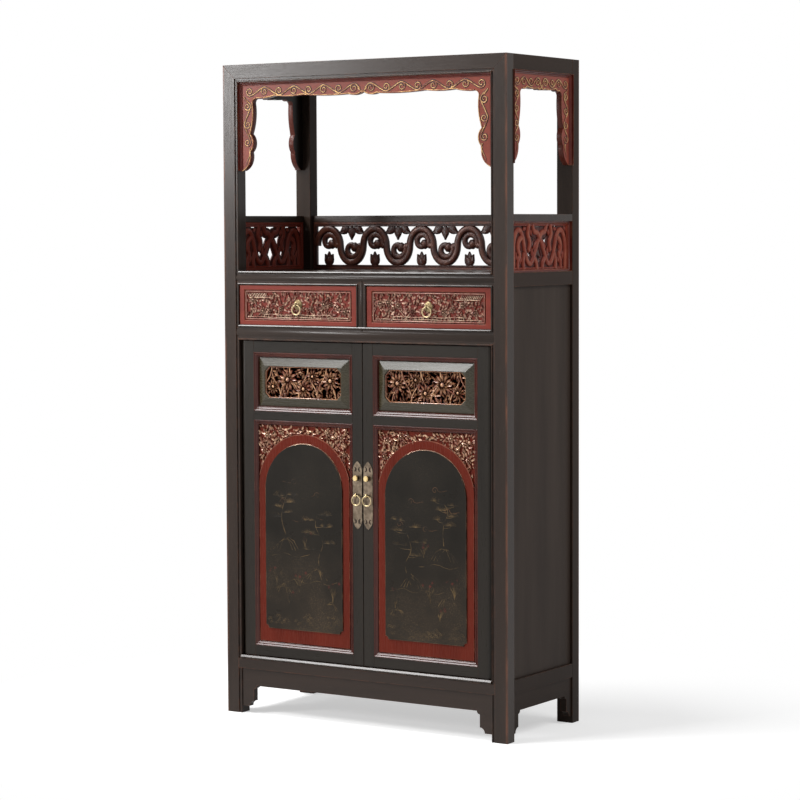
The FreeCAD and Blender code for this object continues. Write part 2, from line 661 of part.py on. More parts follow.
def scrollwork(width, height, vine, thickness, petals):
    """Scrolls for an opening centred on the origin of the XY plane, thickness along +Z."""
    turns = max(3, round(width / height))
    radius = width / turns / 2
    curl_radius = radius * number("dims.curl_share")
    sweep = 360 * number("dims.curl_sweep_share")
    solids = []
    for turn in range(turns):
        up = 1 if turn % 2 == 0 else -1
        centre = Vector(-width / 2 + radius * (2 * turn + 1), -up * radius / 4, 0)
        solids.append(vine_arc(centre, radius, vine, 0 if up > 0 else 180, 180, thickness))
        for side in (-1, 1):
            foot = Vector(centre.x + side * radius - vine / 2, min(centre.y, 0) - vine / 2, 0)
            solids.append(Part.makeBox(vine, abs(centre.y) + vine, thickness, foot))
        lean = math.radians(150 if up > 0 else -30)
        offset = radius - curl_radius
        curl_centre = centre + Vector(offset * math.cos(lean), offset * math.sin(lean), 0)
        solids.append(vine_arc(curl_centre, curl_radius, vine, math.degrees(lean) - sweep, sweep, thickness))
        bud_angle = lean - math.radians(sweep)
        bud_centre = curl_centre + Vector(math.cos(bud_angle), math.sin(bud_angle), 0) * (curl_radius - vine / 2)
        solids.append(bud(bud_centre, vine, thickness))
        crown = centre.y + up * radius
        tie = Vector(centre.x - vine / 2, min(crown, up * height / 2), 0)
        solids.append(Part.makeBox(vine, abs(up * height / 2 - crown), thickness, tie))
        if petals:
            flower_radius = radius * number("dims.flower_share")
            middle = Vector(centre.x, up * radius / 4, 0)
            for petal in range(petals):
                angle = math.radians(360 * petal / petals)
                petal_centre = middle + Vector(math.cos(angle), math.sin(angle), 0) * flower_radius
                solids.append(bud(petal_centre, flower_radius * number("dims.petal_share"), thickness))
            solids.append(bud(middle, flower_radius, thickness))
    return solids[0].multiFuse(solids[1:])


def pierced_panel(outer_face, work_face, thickness):
    """A border face with its openwork, both built flat and padded the same way."""
    outer = outer_face.extrude(Vector(0, 0, thickness))
    inner = work_face.extrude(Vector(0, 0, thickness))
    return outer.cut(inner), inner


def rectangle(width, height):
    corners = [(-1, -1), (1, -1), (1, 1), (-1, 1), (-1, -1)]
    points = [Vector(x * width / 2, y * height / 2, 0) for x, y in corners]
    return Part.Face(Part.makePolygon(points))


# Strands of one half of an end panel, as shares of its half width and half height from the middle,
# those that run past 1 being cut off at the border
END_STRANDS = (
    ((0.95, -1.2), (0.95, 0.1), (0.86, 0.70), (0.72, 0.78), (0.61, 0.40), (0.54, -0.2), (0.45, -0.70), (0.33, -0.84),
     (0.22, -0.50), (0.10, 0.1), (0.0, 0.40)),
    ((0.66, 0.50), (0.75, 0.20), (0.79, -0.25), (0.75, -0.65), (0.82, -1.2)),
    ((0.47, 1.2), (0.44, 0.55), (0.33, 0.10), (0.30, -0.30)),
    ((0.0, 0.40), (0.08, 0.62), (0.18, 0.80), (0.25, 1.2)),
)


def smooth_path(stops, steps):
    """Points of a curve that passes through its stops, by the Catmull-Rom formula."""
    path = []
    for leg in range(len(stops) - 1):
        before, start, end, after = (stops[min(max(leg + at, 0), len(stops) - 1)] for at in (-1, 0, 1, 2))
        for step in range(steps):
            t = step / steps
            path.append((start * 2 + (end - before) * t + (before * 2 - start * 5 + end * 4 - after) * t ** 2
                         + (start * 3 - before - end * 3 + after) * t ** 3) * 0.5)
    return path + [stops[-1]]


def strand(stops, width, thickness):
    """A band of one width along a smooth path."""
    path = smooth_path(stops, 2)
    left, right = [], []
    for here, point in enumerate(path):
        run = path[min(here + 1, len(path) - 1)] - path[max(here - 1, 0)]
        side = Vector(-run.y, run.x, 0).normalize() * (width / 2)
        left.append(point + side)
        right.append(point - side)
    return padded_polygon(left + right[::-1], thickness)


def hooked_strands(width, height, band, thickness):
    """Facing hooks and a knot of crossing strands, the same to the left and right of the middle."""
    solids = []
    for side in (-1, 1):
        for stops in END_STRANDS:
            points = [Vector(side * along * width / 2, across * height / 2, 0) for along, across in stops]
            solids.append(strand(points, band, thickness))
    solids.append(bud(Vector(0, height / 5, 0), band, thickness))
    return solids[0].multiFuse(solids[1:])


def vine_scrolls(width, height, band, thickness):
    return scrollwork(width, height, band, thickness, 0)


def gallery_panel(label, span, openwork):
    width = number(span)
    height = number("dims.gallery_height")
    border = number("dims.gallery_border")
    thickness = number("dims.gallery_thickness")
    opening_width = width - 2 * border
    opening_height = height - 2 * border
    rim, opening = pierced_panel(rectangle(width, height), rectangle(opening_width, opening_height), thickness)
    work = openwork(opening_width, opening_height, number("dims.gallery_vine"), thickness)
    panel = doc.addObject("Part::Feature", label)
    panel.Shape = rim.fuse(work.common(opening)).removeSplitter()
    return panel


UPRIGHT = FreeCAD.Rotation(Vector(1, 0, 0), 90)
GALLERY_MIDDLE = f"({GALLERY_LOW} + dims.gallery_height / 2)"
rear_gallery_panel = gallery_panel("rear_gallery_panel", f"2 * {INNER}", vine_scrolls)
rear_gallery_panel.Placement.Rotation = UPRIGHT
place(rear_gallery_panel, y=f"{HALF_DEPTH} - dims.gallery_recess", z=GALLERY_MIDDLE)
piece("rear_gallery_panel", rear_gallery_panel)
left_gallery_panel = gallery_panel("left_gallery_panel", f"2 * {END_INNER}", hooked_strands)
left_gallery_panel.Placement.Rotation = FreeCAD.Rotation(Vector(0, 0, 1), 90).multiply(UPRIGHT)
place(left_gallery_panel, x=f"-({HALF_WIDTH} - dims.gallery_recess)", z=GALLERY_MIDDLE)
piece("end_gallery_panels", group(
    "end_gallery_panels", [left_gallery_panel, mirrored("right_gallery_panel", left_gallery_panel)]))


# Base aprons with bracket feet, under the bottom rails
def base_apron(name, plane, half_span, foot_width):
    foot = f"({half_span} - {foot_width})"
    foot_low = "dims.base_foot_lift"
    edge = "(dims.base_height - dims.base_apron_height)"
    quarter = "(1 - sqrt(0.5))"
    right = [
        (half_span, "dims.base_height"),
        (half_span, foot_low),
        (f"{foot} + dims.base_foot_radius", foot_low, f"-dims.base_foot_radius * {quarter}"),
        (foot, f"{foot_low} + dims.base_foot_radius"),
        (foot, f"{edge} - dims.base_corner_radius", f"dims.base_corner_radius * {quarter}"),
        (f"{foot} - dims.base_corner_radius", edge),
    ]
    left = [
        (f"-({foot} - dims.base_corner_radius)", edge, f"dims.base_corner_radius * {quarter}"),
        (f"-{foot}", f"{edge} - dims.base_corner_radius"),
        (f"-{foot}", f"{foot_low} + dims.base_foot_radius", f"-dims.base_foot_radius * {quarter}"),
        (f"-({foot} + dims.base_foot_radius)", foot_low),
        (f"-{half_span}", foot_low),
        (f"-{half_span}", "dims.base_height"),
    ]
    return prism(name, plane, [right + left], "dims.base_apron_thickness")


piece("front_base_apron", place(
    base_apron("front_base_apron", "XZ_Plane", INNER, "dims.base_foot_width"),
    y=f"{FRONT} + dims.base_apron_recess + dims.base_apron_thickness"))
left_base_apron = place(
    base_apron("left_base_apron", "YZ_Plane", END_INNER, "dims.end_foot_width"),
    x=f"-({HALF_WIDTH} - dims.base_apron_recess)")
piece("end_base_aprons", group("end_base_aprons", [left_base_apron, mirrored("right_base_apron", left_base_apron)]))

# Drawer runners: a ledge under each drawer side with a guide standing beside it
LEDGE_LOW = f"({DRAWER_RAIL_TOP} - dims.runner_thickness)"
GUIDE_TOP = f"({DRAWER_RAIL_TOP} + dims.guide_height)"
SIDE_GUIDE = f"({INNER} - dims.drawer_gap + dims.guide_clearance)"
SIDE_LEDGE = f"({SIDE_GUIDE} - dims.runner_ledge)"
left_runner = place(prism("left_runner", "XZ_Plane", [[
    (f"-{SIDE_PANEL_IN}", LEDGE_LOW), (f"-{SIDE_PANEL_IN}", GUIDE_TOP), (f"-{SIDE_GUIDE}", GUIDE_TOP),
    (f"-{SIDE_GUIDE}", DRAWER_RAIL_TOP), (f"-{SIDE_LEDGE}", DRAWER_RAIL_TOP), (f"-{SIDE_LEDGE}", LEDGE_LOW),
]], f"2 * {END_INNER}"), y=END_INNER)
MIDDLE_GUIDE = f"({HALF_DIVIDER} + dims.drawer_gap - dims.guide_clearance)"
MIDDLE_LEDGE = f"({MIDDLE_GUIDE} + dims.runner_ledge)"
middle_runner = place(prism("middle_runner", "XZ_Plane", [[
    (f"-{MIDDLE_LEDGE}", LEDGE_LOW), (f"-{MIDDLE_LEDGE}", DRAWER_RAIL_TOP), (f"-{MIDDLE_GUIDE}", DRAWER_RAIL_TOP),
    (f"-{MIDDLE_GUIDE}", GUIDE_TOP), (MIDDLE_GUIDE, GUIDE_TOP), (MIDDLE_GUIDE, DRAWER_RAIL_TOP),
    (MIDDLE_LEDGE, DRAWER_RAIL_TOP), (MIDDLE_LEDGE, LEDGE_LOW),
]], f"{BACK_PANEL_FACE} - {RAIL_BACK}"), y=BACK_PANEL_FACE)
piece("drawer_runners", group(
    "drawer_runners", [left_runner, middle_runner, mirrored("right_runner", left_runner)]))

# Inner shelf on two cleats
INNER_SHELF_TOP = f"({BOTTOM_RAIL_TOP} + ({DRAWER_RAIL_LOW} - {BOTTOM_RAIL_TOP}) * dims.inner_shelf_share)"
INNER_SHELF_LOW = f"({INNER_SHELF_TOP} - dims.shelf_thickness)"
left_cleat = board(
    "left_cleat", (f"-{SIDE_PANEL_IN}", f"-({SIDE_PANEL_IN} - dims.cleat_width)"), (f"-{END_INNER}", END_INNER),
    (f"{INNER_SHELF_LOW} - dims.cleat_height", INNER_SHELF_LOW))
piece("inner_shelf_cleats", group("inner_shelf_cleats", [left_cleat, mirrored("right_cleat", left_cleat)]))
SHELF_HALF_WIDTH = f"({SIDE_PANEL_IN} - dims.inner_shelf_clearance)"
SHELF_HALF_DEPTH = f"({END_INNER} - dims.inner_shelf_clearance)"
piece("inner_shelf", board(
    "inner_shelf", (f"-{SHELF_HALF_WIDTH}", SHELF_HALF_WIDTH), (f"-{SHELF_HALF_DEPTH}", SHELF_HALF_DEPTH),
    (INNER_SHELF_LOW, INNER_SHELF_TOP)))

# Door frame: the hinge edge is rounded about the pivots so that it turns inside the post
left_pieces = []


def left_piece(label, shape_object):
    left_pieces.append((label, shape_object))
    return piece("left_" + label, shape_object)


STILE_IN = f"({DOOR_OUTER} - dims.hinge_stile_width)"
MEETING_OUT = "(dims.door_gap / 2 + dims.meeting_stile_width)"
DOOR_TENON_FRONT = f"({PIVOT_Y} - dims.door_tenon_thickness / 2)"
DOOR_TENON_BACK = f"({PIVOT_Y} + dims.door_tenon_thickness / 2)"
MIDDLE_RAIL_TOP = f"({DOOR_TOP} - dims.door_top_rail_height - dims.door_upper_opening)"
MIDDLE_RAIL_LOW = f"({MIDDLE_RAIL_TOP} - dims.door_middle_rail_height)"
DOOR_RAILS = {
    "bottom": (DOOR_LOW, f"({DOOR_LOW} + dims.door_bottom_rail_height)"),
    "middle": (MIDDLE_RAIL_LOW, MIDDLE_RAIL_TOP),
    "top": (f"({DOOR_TOP} - dims.door_top_rail_height)", DOOR_TOP),
}
door_bars = []
door_rails = []
for level, (low, high) in DOOR_RAILS.items():
    bar = board(
        f"door_{level}_tenon",
        (f"-({STILE_IN} + dims.door_tenon_length)", f"-({MEETING_OUT} - dims.door_tenon_length)"),
        (DOOR_TENON_FRONT, DOOR_TENON_BACK), (f"{low} + dims.door_tenon_margin", f"{high} - dims.door_tenon_margin"))
    straight = board(f"door_{level}_stock", (f"-{STILE_IN}", f"-{MEETING_OUT}"), (DOOR_FACE, DOOR_BACK), (low, high))
    door_bars.append(bar)
    door_rails.append(fuse(f"door_{level}_rail", [straight, bar]))
hinge_stock = place(prism("hinge_stile_stock", "XY_Plane", [[
    (f"-{PIVOT_X}", DOOR_FACE), (f"-{STILE_IN}", DOOR_FACE), (f"-{STILE_IN}", DOOR_BACK),
    (f"-{PIVOT_X}", DOOR_BACK, "-dims.door_thickness / 2"),
]], f"{DOOR_TOP} - {DOOR_LOW}"), z=DOOR_LOW)
PIVOT_REACH = "(dims.pivot_length - dims.door_gap)"
pivot = rod(
    "pivot", "dims.pivot_radius", f"{DRAWER_RAIL_LOW} - {BOTTOM_RAIL_TOP} + 2 * {PIVOT_REACH}", Vector(0, 0, 1))
place(pivot, f"-{PIVOT_X}", PIVOT_Y, f"{BOTTOM_RAIL_TOP} - {PIVOT_REACH}")
left_piece("door_hinge_stile", cut("door_hinge_stile", fuse("pivoted_stile", [hinge_stock, pivot]), door_bars))
meeting_stock = board(
    "meeting_stile_stock", (f"-{MEETING_OUT}", "-dims.door_gap / 2"), (DOOR_FACE, DOOR_BACK), (DOOR_LOW, DOOR_TOP))
left_piece("door_meeting_stile", cut("door_meeting_stile", meeting_stock, door_bars))
left_piece("door_rails", group("door_rails", door_rails))

# Mouldings: a mitred frame in each opening of the door, two beads falling to the panel
OPENING_WIDTH = f"({STILE_IN} - {MEETING_OUT})"
OPENING_MIDDLE = f"(-({STILE_IN} + {MEETING_OUT}) / 2)"
MOULDING_FACE = f"({DOOR_FACE} + dims.moulding_drop)"
PANEL_BACK = f"({DOOR_BACK} - dims.door_back_recess)"


def moulding(name, low, high):
    body = doc.addObject("PartDesign::Body", name)
    profile = new_sketch(body, name + "_profile", "YZ_Plane")
    second_bead = "(dims.moulding_width - 2 * dims.moulding_bead)"
    draw(profile, [
        (PANEL_BACK, "0"),
        (PANEL_BACK, "dims.moulding_width"),
        (f"{MOULDING_FACE} + dims.moulding_fall", "dims.moulding_width"),
        (f"{MOULDING_FACE} + dims.moulding_step", f"dims.moulding_bead + {second_bead} + dims.moulding_bead / 2",
         "-dims.moulding_bead / 4"),
        (f"{MOULDING_FACE} + dims.moulding_step", f"dims.moulding_bead + {second_bead} / 2"),
    ] + [(depth, inset) for inset, depth in planed_bead(
        "dims.moulding_bead", "0", MOULDING_FACE, f"{MOULDING_FACE} + dims.moulding_bead / 2")])
    path = new_sketch(body, name + "_path", "XZ_Plane")
    half = f"({OPENING_WIDTH} / 2)"
    rise = f"({high} - {low})"
    draw(path, [("0", "0"), (half, "0"), (half, rise), (f"-{half}", rise), (f"-{half}", "0")])
    pipe = body.newObject("PartDesign::AdditivePipe", name + "_sweep")
    pipe.Profile = profile
    pipe.Spine = (path, ["Edge1", "Edge2", "Edge3", "Edge4", "Edge5"])
    pipe.Transition = "Right corner"
    body.Tip = pipe
    return place(body, x=OPENING_MIDDLE, z=low)


upper_moulding = moulding("upper_moulding", MIDDLE_RAIL_TOP, DOOR_RAILS["top"][0])
lower_moulding = moulding("lower_moulding", DOOR_RAILS["bottom"][1], MIDDLE_RAIL_LOW)
left_piece("door_mouldings", group("door_mouldings", [upper_moulding, lower_moulding]))

# Window: a frame bevelled up to a chamfered opening, with pierced flowers set inside it
FIELD_OUT = f"({STILE_IN} - dims.moulding_width)"
FIELD_IN = f"({MEETING_OUT} + dims.moulding_width)"
FIELD_LOW = f"({MIDDLE_RAIL_TOP} + dims.moulding_width)"
FIELD_HIGH = f"({DOOR_RAILS['top'][0]} - dims.moulding_width)"
FIELD_FACE = f"({MOULDING_FACE} + dims.moulding_fall)"
WINDOW_FACE = f"({FIELD_FACE} - dims.window_bevel_rise)"
bevel = doc.addObject("Part::Wedge", "window_bevel")
BEVEL_FORMULAS = {
    "Ymin": WINDOW_FACE, "Ymax": FIELD_FACE,
    "Xmin": f"-({FIELD_OUT} - dims.window_bevel_width)", "Xmax": f"-({FIELD_IN} + dims.window_bevel_width)",
    "Zmin": f"{FIELD_LOW} + dims.window_bevel_width", "Zmax": f"{FIELD_HIGH} - dims.window_bevel_width",
    "X2min": f"-{FIELD_OUT}", "X2max": f"-{FIELD_IN}", "Z2min": FIELD_LOW, "Z2max": FIELD_HIGH,
}
for corner, formula in BEVEL_FORMULAS.items():
    bevel.setExpression(corner, formula)
bevel_back = board(
    "window_back", (f"-{FIELD_OUT}", f"-{FIELD_IN}"), (FIELD_FACE, PANEL_BACK), (FIELD_LOW, FIELD_HIGH))
WINDOW_WIDTH = f"({FIELD_OUT} - {FIELD_IN} - 2 * dims.window_bevel_width)"
WINDOW_HEIGHT = f"({FIELD_HIGH} - {FIELD_LOW} - 2 * dims.window_bevel_width)"
HALF_WINDOW = f"({WINDOW_WIDTH} / 2)"
HALF_PANE = f"({WINDOW_HEIGHT} / 2)"
CHAMFER_X = f"({HALF_WINDOW} - dims.window_chamfer)"
CHAMFER_Z = f"({HALF_PANE} - dims.window_chamfer)"
window = prism("window_opening", "XZ_Plane", [[
    (f"-{CHAMFER_X}", f"-{HALF_PANE}"), (CHAMFER_X, f"-{HALF_PANE}"), (HALF_WINDOW, f"-{CHAMFER_Z}"),
    (HALF_WINDOW, CHAMFER_Z), (CHAMFER_X, HALF_PANE), (f"-{CHAMFER_X}", HALF_PANE),
    (f"-{HALF_WINDOW}", CHAMFER_Z), (f"-{HALF_WINDOW}", f"-{CHAMFER_Z}"),
]], f"{PANEL_BACK} - {WINDOW_FACE}")
WINDOW_LEVEL = f"(({FIELD_LOW} + {FIELD_HIGH}) / 2)"
place(window, x=OPENING_MIDDLE, y=PANEL_BACK, z=WINDOW_LEVEL)
left_piece("door_bevel_frame", cut("door_bevel_frame", fuse("bevel_stock", [bevel, bevel_back]), [window]))


def octagon(width, height, chamfer):
    half_x, half_y = width / 2, height / 2
    corners = [
        (-half_x + chamfer, -half_y), (half_x - chamfer, -half_y), (half_x, -half_y + chamfer),
        (half_x, half_y - chamfer), (half_x - chamfer, half_y), (-half_x + chamfer, half_y),
        (-half_x, half_y - chamfer), (-half_x, -half_y + chamfer), (-half_x + chamfer, -half_y)]
    return Part.Face(Part.makePolygon([Vector(x, y, 0) for x, y in corners]))


lattice_border = number("dims.lattice_border")
lattice_thickness = number("dims.lattice_thickness")
lattice_width = number(WINDOW_WIDTH) - 2 * lattice_border
lattice_height = number(WINDOW_HEIGHT) - 2 * lattice_border
lattice_rim, lattice_opening = pierced_panel(
    octagon(number(WINDOW_WIDTH), number(WINDOW_HEIGHT), number("dims.window_chamfer")),
    octagon(lattice_width, lattice_height, number("dims.window_chamfer")), lattice_thickness)
flowers = scrollwork(lattice_width, lattice_height, number("dims.lattice_vine"), lattice_thickness, 6)
lattice = doc.addObject("Part::Feature", "door_lattice")
lattice.Shape = lattice_rim.fuse(flowers.common(lattice_opening)).removeSplitter()
lattice.Placement.Rotation = UPRIGHT
place(lattice, x=OPENING_MIDDLE, y=f"{WINDOW_FACE} + dims.lattice_drop + dims.lattice_thickness", z=WINDOW_LEVEL)
left_piece("door_lattice", lattice)

# Lower field: a ground board with a raised arch band, and a raised panel under the arch
ARCH_LOW = f"({DOOR_RAILS['bottom'][1]} + dims.moulding_width)"
ARCH_HIGH = f"({MIDDLE_RAIL_LOW} - dims.moulding_width)"
HALF_FIELD = f"(({FIELD_OUT} - {FIELD_IN}) / 2)"
HALF_ARCH = f"({HALF_FIELD} - dims.arch_band_width)"
SPRING = f"({ARCH_HIGH} - dims.arch_head_clear - dims.arch_band_crown - {HALF_ARCH})"
BAND_RADIUS = f"({HALF_ARCH} + dims.arch_band_crown)"
BAND_RISE = f"sqrt({BAND_RADIUS} ^ 2 - {HALF_FIELD} ^ 2)"
ARCH_FOOT = f"({ARCH_LOW} + dims.arch_foot_height)"
ground = board("arch_ground", (f"-{FIELD_OUT}", f"-{FIELD_IN}"), (FIELD_FACE, PANEL_BACK), (ARCH_LOW, ARCH_HIGH))
NOTCH_BULGE = "dims.arch_notch * (1 - sqrt(0.5))"
arch_outline = [
    (f"-{HALF_ARCH} + dims.arch_notch", ARCH_FOOT),
    (f"{HALF_ARCH} - dims.arch_notch", ARCH_FOOT, NOTCH_BULGE),
    (HALF_ARCH, f"{ARCH_FOOT} + dims.arch_notch"),
    (HALF_ARCH, SPRING, f"-{HALF_ARCH}"),
    (f"-{HALF_ARCH}", SPRING),
    (f"-{HALF_ARCH}", f"{ARCH_FOOT} + dims.arch_notch", NOTCH_BULGE),
]
band_outline = [
    (f"-{HALF_FIELD}", ARCH_LOW),
    (HALF_FIELD, ARCH_LOW),
    (HALF_FIELD, f"{SPRING} + {BAND_RISE}", f"-({BAND_RADIUS} - {BAND_RISE})"),
    (f"-{HALF_FIELD}", f"{SPRING} + {BAND_RISE}"),
]
band = place(prism("arch_band", "XZ_Plane", [band_outline, arch_outline], "dims.arch_band_rise"),
             x=OPENING_MIDDLE, y=FIELD_FACE)
left_piece("door_arch_board", fuse("door_arch_board", [ground, band]))
left_piece("door_arch_panel", place(
    prism("door_arch_panel", "XZ_Plane", [arch_outline], "dims.arch_panel_rise"), x=OPENING_MIDDLE, y=FIELD_FACE))

# Ring pulls hang in staple eyes, the ring lying in the plane of the front
EYE_RADIUS = "(dims.ring_wire_radius + dims.ring_clearance + dims.eye_wire_radius)"
EYE_REACH = f"(dims.eye_stem_length + {EYE_RADIUS} + dims.eye_wire_radius)"


def link(name, path_plane, section_plane, radius, wire, sides):
    """A closed link of wire: a six-sided section swept round a path of straight facets."""
    body = doc.addObject("PartDesign::Body", name)
    section = new_sketch(body, name + "_section", section_plane)
    turns = [math.radians(60 * corner) for corner in range(6)]
    draw(section, [(f"{wire} * {math.cos(turn)}", f"{wire} * {math.sin(turn)} - {radius}") for turn in turns])
    path = new_sketch(body, name + "_path", path_plane)
    half_facet = math.pi / sides
    angles = [-math.pi / 2 + half_facet * (2 * facet + 1) for facet in range(sides)]
    reach = 1 / math.cos(half_facet)
    bends = [(f"{radius} * {reach * math.cos(angle)}", f"{radius} * {reach * math.sin(angle)}") for angle in angles]
    draw(path, [("0", f"-{radius}")] + bends)
    sweep = body.newObject("PartDesign::AdditivePipe", name + "_sweep")
    sweep.Profile = section
    sweep.Spine = (path, [f"Edge{edge + 1}" for edge in range(sides + 1)])
    sweep.Transition = "Right corner"
    body.Tip = sweep
    return body


def staple_eye(name, x, seat, z):
    loop = link(name + "_loop", "YZ_Plane", "XZ_Plane", EYE_RADIUS, "dims.eye_wire_radius", 12)
    place(loop, x, f"{seat} - {EYE_REACH}", z)
    stem = filed_bar(
        name + "_stem", 6, "dims.eye_stem_radius", "dims.eye_stem_length + dims.eye_wire_radius", Vector(0, -1, 0))
    place(stem, x, seat, z)
    return fuse(name, [loop, stem])


def pull_ring(name, x, seat, z):
    ring = link(name, "XZ_Plane", "YZ_Plane", "dims.ring_radius", "dims.ring_wire_radius", 20)
    return place(ring, x, f"{seat} - {EYE_REACH}", f"{z} - dims.ring_radius")


# Lock plates: sheet brass with pointed ends and pierced crescents, a stud bored for a bar
PLATE_X = "(-dims.plate_offset)"
PLATE_LEVEL = f"({DOOR_LOW} + ({DOOR_TOP} - {DOOR_LOW}) * dims.plate_level_share)"
HALF_PLATE = "(dims.plate_width / 2)"
PLATE_SHANK = "(dims.plate_length / 2 - dims.plate_end_length)"
PLATE_FACE = f"({DOOR_FACE} - dims.plate_thickness)"
plate_outline = [
    ("0", "-dims.plate_length / 2", "-dims.plate_end_bulge"),
    (HALF_PLATE, f"-{PLATE_SHANK}"),
    (HALF_PLATE, PLATE_SHANK, "-dims.plate_end_bulge"),
    ("0", "dims.plate_length / 2", "-dims.plate_end_bulge"),
    (f"-{HALF_PLATE}", PLATE_SHANK),
    (f"-{HALF_PLATE}", f"-{PLATE_SHANK}", "-dims.plate_end_bulge"),
]
crescents = []
for end in ("", "-"):
    level = f"({end}(dims.plate_length / 2 - dims.crescent_end_distance))"
    for side in ("", "-"):
        back = f"{side}(dims.crescent_offset + dims.crescent_bulge)"
        crescents.append([
            (f"{side}dims.crescent_offset", f"{level} - dims.crescent_length / 2"),
            (back, f"{level} - dims.crescent_length / 6"),
            (back, f"{level} + dims.crescent_length / 6"),
            (f"{side}dims.crescent_offset", f"{level} + dims.crescent_length / 2"),
            (f"{side}(dims.crescent_offset + dims.crescent_hollow)", level),
        ])
plate = place(
    prism("lock_plate", "XZ_Plane", [plate_outline] + crescents, "dims.plate_thickness"),
    x=PLATE_X, y=DOOR_FACE, z=PLATE_LEVEL)
STUD_LEVEL = f"({PLATE_LEVEL} + dims.stud_rise)"
stud_body = filed_bar("stud_body", 12, "dims.stud_radius", "dims.stud_length - dims.stud_edge", Vector(0, -1, 0))
place(stud_body, PLATE_X, PLATE_FACE, STUD_LEVEL)
stud_cap = filed_bar("stud_cap", 12, "dims.stud_radius - dims.stud_edge", "dims.stud_edge", Vector(0, -1, 0))
place(stud_cap, PLATE_X, f"{PLATE_FACE} - dims.stud_length + dims.stud_edge", STUD_LEVEL)
stud_hole = rod("stud_hole", "dims.stud_hole_radius", "4 * dims.stud_radius", Vector(1, 0, 0))
place(stud_hole, f"{PLATE_X} - 2 * dims.stud_radius", f"{PLATE_FACE} - dims.stud_hole_distance", STUD_LEVEL)
stud = cut("lock_stud", fuse("stud_stock", [stud_body, stud_cap]), [stud_hole])
door_eye = staple_eye("door_eye", PLATE_X, PLATE_FACE, PLATE_LEVEL)
left_piece("door_lock_plate", group("door_lock_plate", [plate, stud, door_eye]))
left_piece("door_ring", pull_ring("door_ring", PLATE_X, PLATE_FACE, PLATE_LEVEL))

# Drawers: a front with a sunk field, two sides, back and bottom, and a ring on a rosette
DRAWER_FACE = f"({FRONT} + dims.drawer_recess)"
FRONT_BACK = f"({DRAWER_FACE} + dims.drawer_front_thickness)"
DRAWER_OUT = f"({INNER} - dims.drawer_gap)"
DRAWER_IN = f"({HALF_DIVIDER} + dims.drawer_gap)"
DRAWER_LOW = f"({DRAWER_RAIL_TOP} + dims.slide_clearance)"
DRAWER_HIGH = f"({SHELF_RAIL_LOW} - dims.drawer_gap)"
DRAWER_REAR = f"({BACK_PANEL_FACE} - dims.drawer_rear_gap)"
DRAWER_MIDDLE = f"(-({DRAWER_OUT} + {DRAWER_IN}) / 2)"
SIDE_TOP = f"({DRAWER_LOW} + dims.drawer_side_height)"
front_stock_board = board(
    "drawer_front_stock", (f"-{DRAWER_OUT}", f"-{DRAWER_IN}"), (DRAWER_FACE, FRONT_BACK), (DRAWER_LOW, DRAWER_HIGH))
drawer_field = board(
    "drawer_field", (f"-({DRAWER_OUT} - dims.drawer_border)", f"-({DRAWER_IN} + dims.drawer_border)"),
    (DRAWER_FACE, f"{DRAWER_FACE} + dims.drawer_field_depth"),
    (f"{DRAWER_LOW} + dims.drawer_border_height", f"{DRAWER_HIGH} - dims.drawer_border_height"))
left_piece("drawer_front", cut("drawer_front", front_stock_board, [drawer_field]))
outer_side = (f"-{DRAWER_OUT}", f"-({DRAWER_OUT} - dims.drawer_board_thickness)")
inner_side = (f"-({DRAWER_IN} + dims.drawer_board_thickness)", f"-{DRAWER_IN}")
inside = (outer_side[1], inner_side[0])
BACK_BOARD_FACE = f"{DRAWER_REAR} - dims.drawer_board_thickness"
BOTTOM_LOW = f"({DRAWER_LOW} + dims.drawer_bottom_lift)"
BOTTOM_TOP = f"({BOTTOM_LOW} + dims.drawer_bottom_thickness)"
left_piece("drawer_box", group("drawer_box", [
    board("drawer_outer_side", outer_side, (FRONT_BACK, DRAWER_REAR), (DRAWER_LOW, SIDE_TOP)),
    board("drawer_inner_side", inner_side, (FRONT_BACK, DRAWER_REAR), (DRAWER_LOW, SIDE_TOP)),
    board("drawer_back", inside, (BACK_BOARD_FACE, DRAWER_REAR), (BOTTOM_TOP, SIDE_TOP)),
    board("drawer_bottom", inside, (FRONT_BACK, DRAWER_REAR), (BOTTOM_LOW, BOTTOM_TOP)),
]))
FIELD_GROUND = f"({DRAWER_FACE} + dims.drawer_field_depth)"
EYE_LEVEL = f"(({DRAWER_LOW} + {DRAWER_HIGH}) / 2 + dims.drawer_eye_rise)"
rosette_disc = filed_bar(
    "rosette_disc", 16, "dims.rosette_radius", "dims.rosette_thickness - dims.rosette_edge", Vector(0, -1, 0))
place(rosette_disc, DRAWER_MIDDLE, FIELD_GROUND, EYE_LEVEL)
ROSETTE_FACE = f"({FIELD_GROUND} - dims.rosette_thickness)"
rosette_boss = filed_bar(
    "rosette_boss", 16, "dims.rosette_radius - 2 * dims.rosette_edge", "dims.rosette_edge", Vector(0, -1, 0))
place(rosette_boss, DRAWER_MIDDLE, f"{ROSETTE_FACE} + dims.rosette_edge", EYE_LEVEL)
drawer_eye = staple_eye("drawer_eye", DRAWER_MIDDLE, ROSETTE_FACE, EYE_LEVEL)
left_piece("drawer_pull", fuse("drawer_pull", [rosette_disc, rosette_boss, drawer_eye]))
left_piece("drawer_ring", pull_ring("drawer_ring", DRAWER_MIDDLE, ROSETTE_FACE, EYE_LEVEL))

# The right door and drawer mirror the left ones
for label, source in left_pieces:
    piece("right_" + label, mirrored("right_" + label, source))

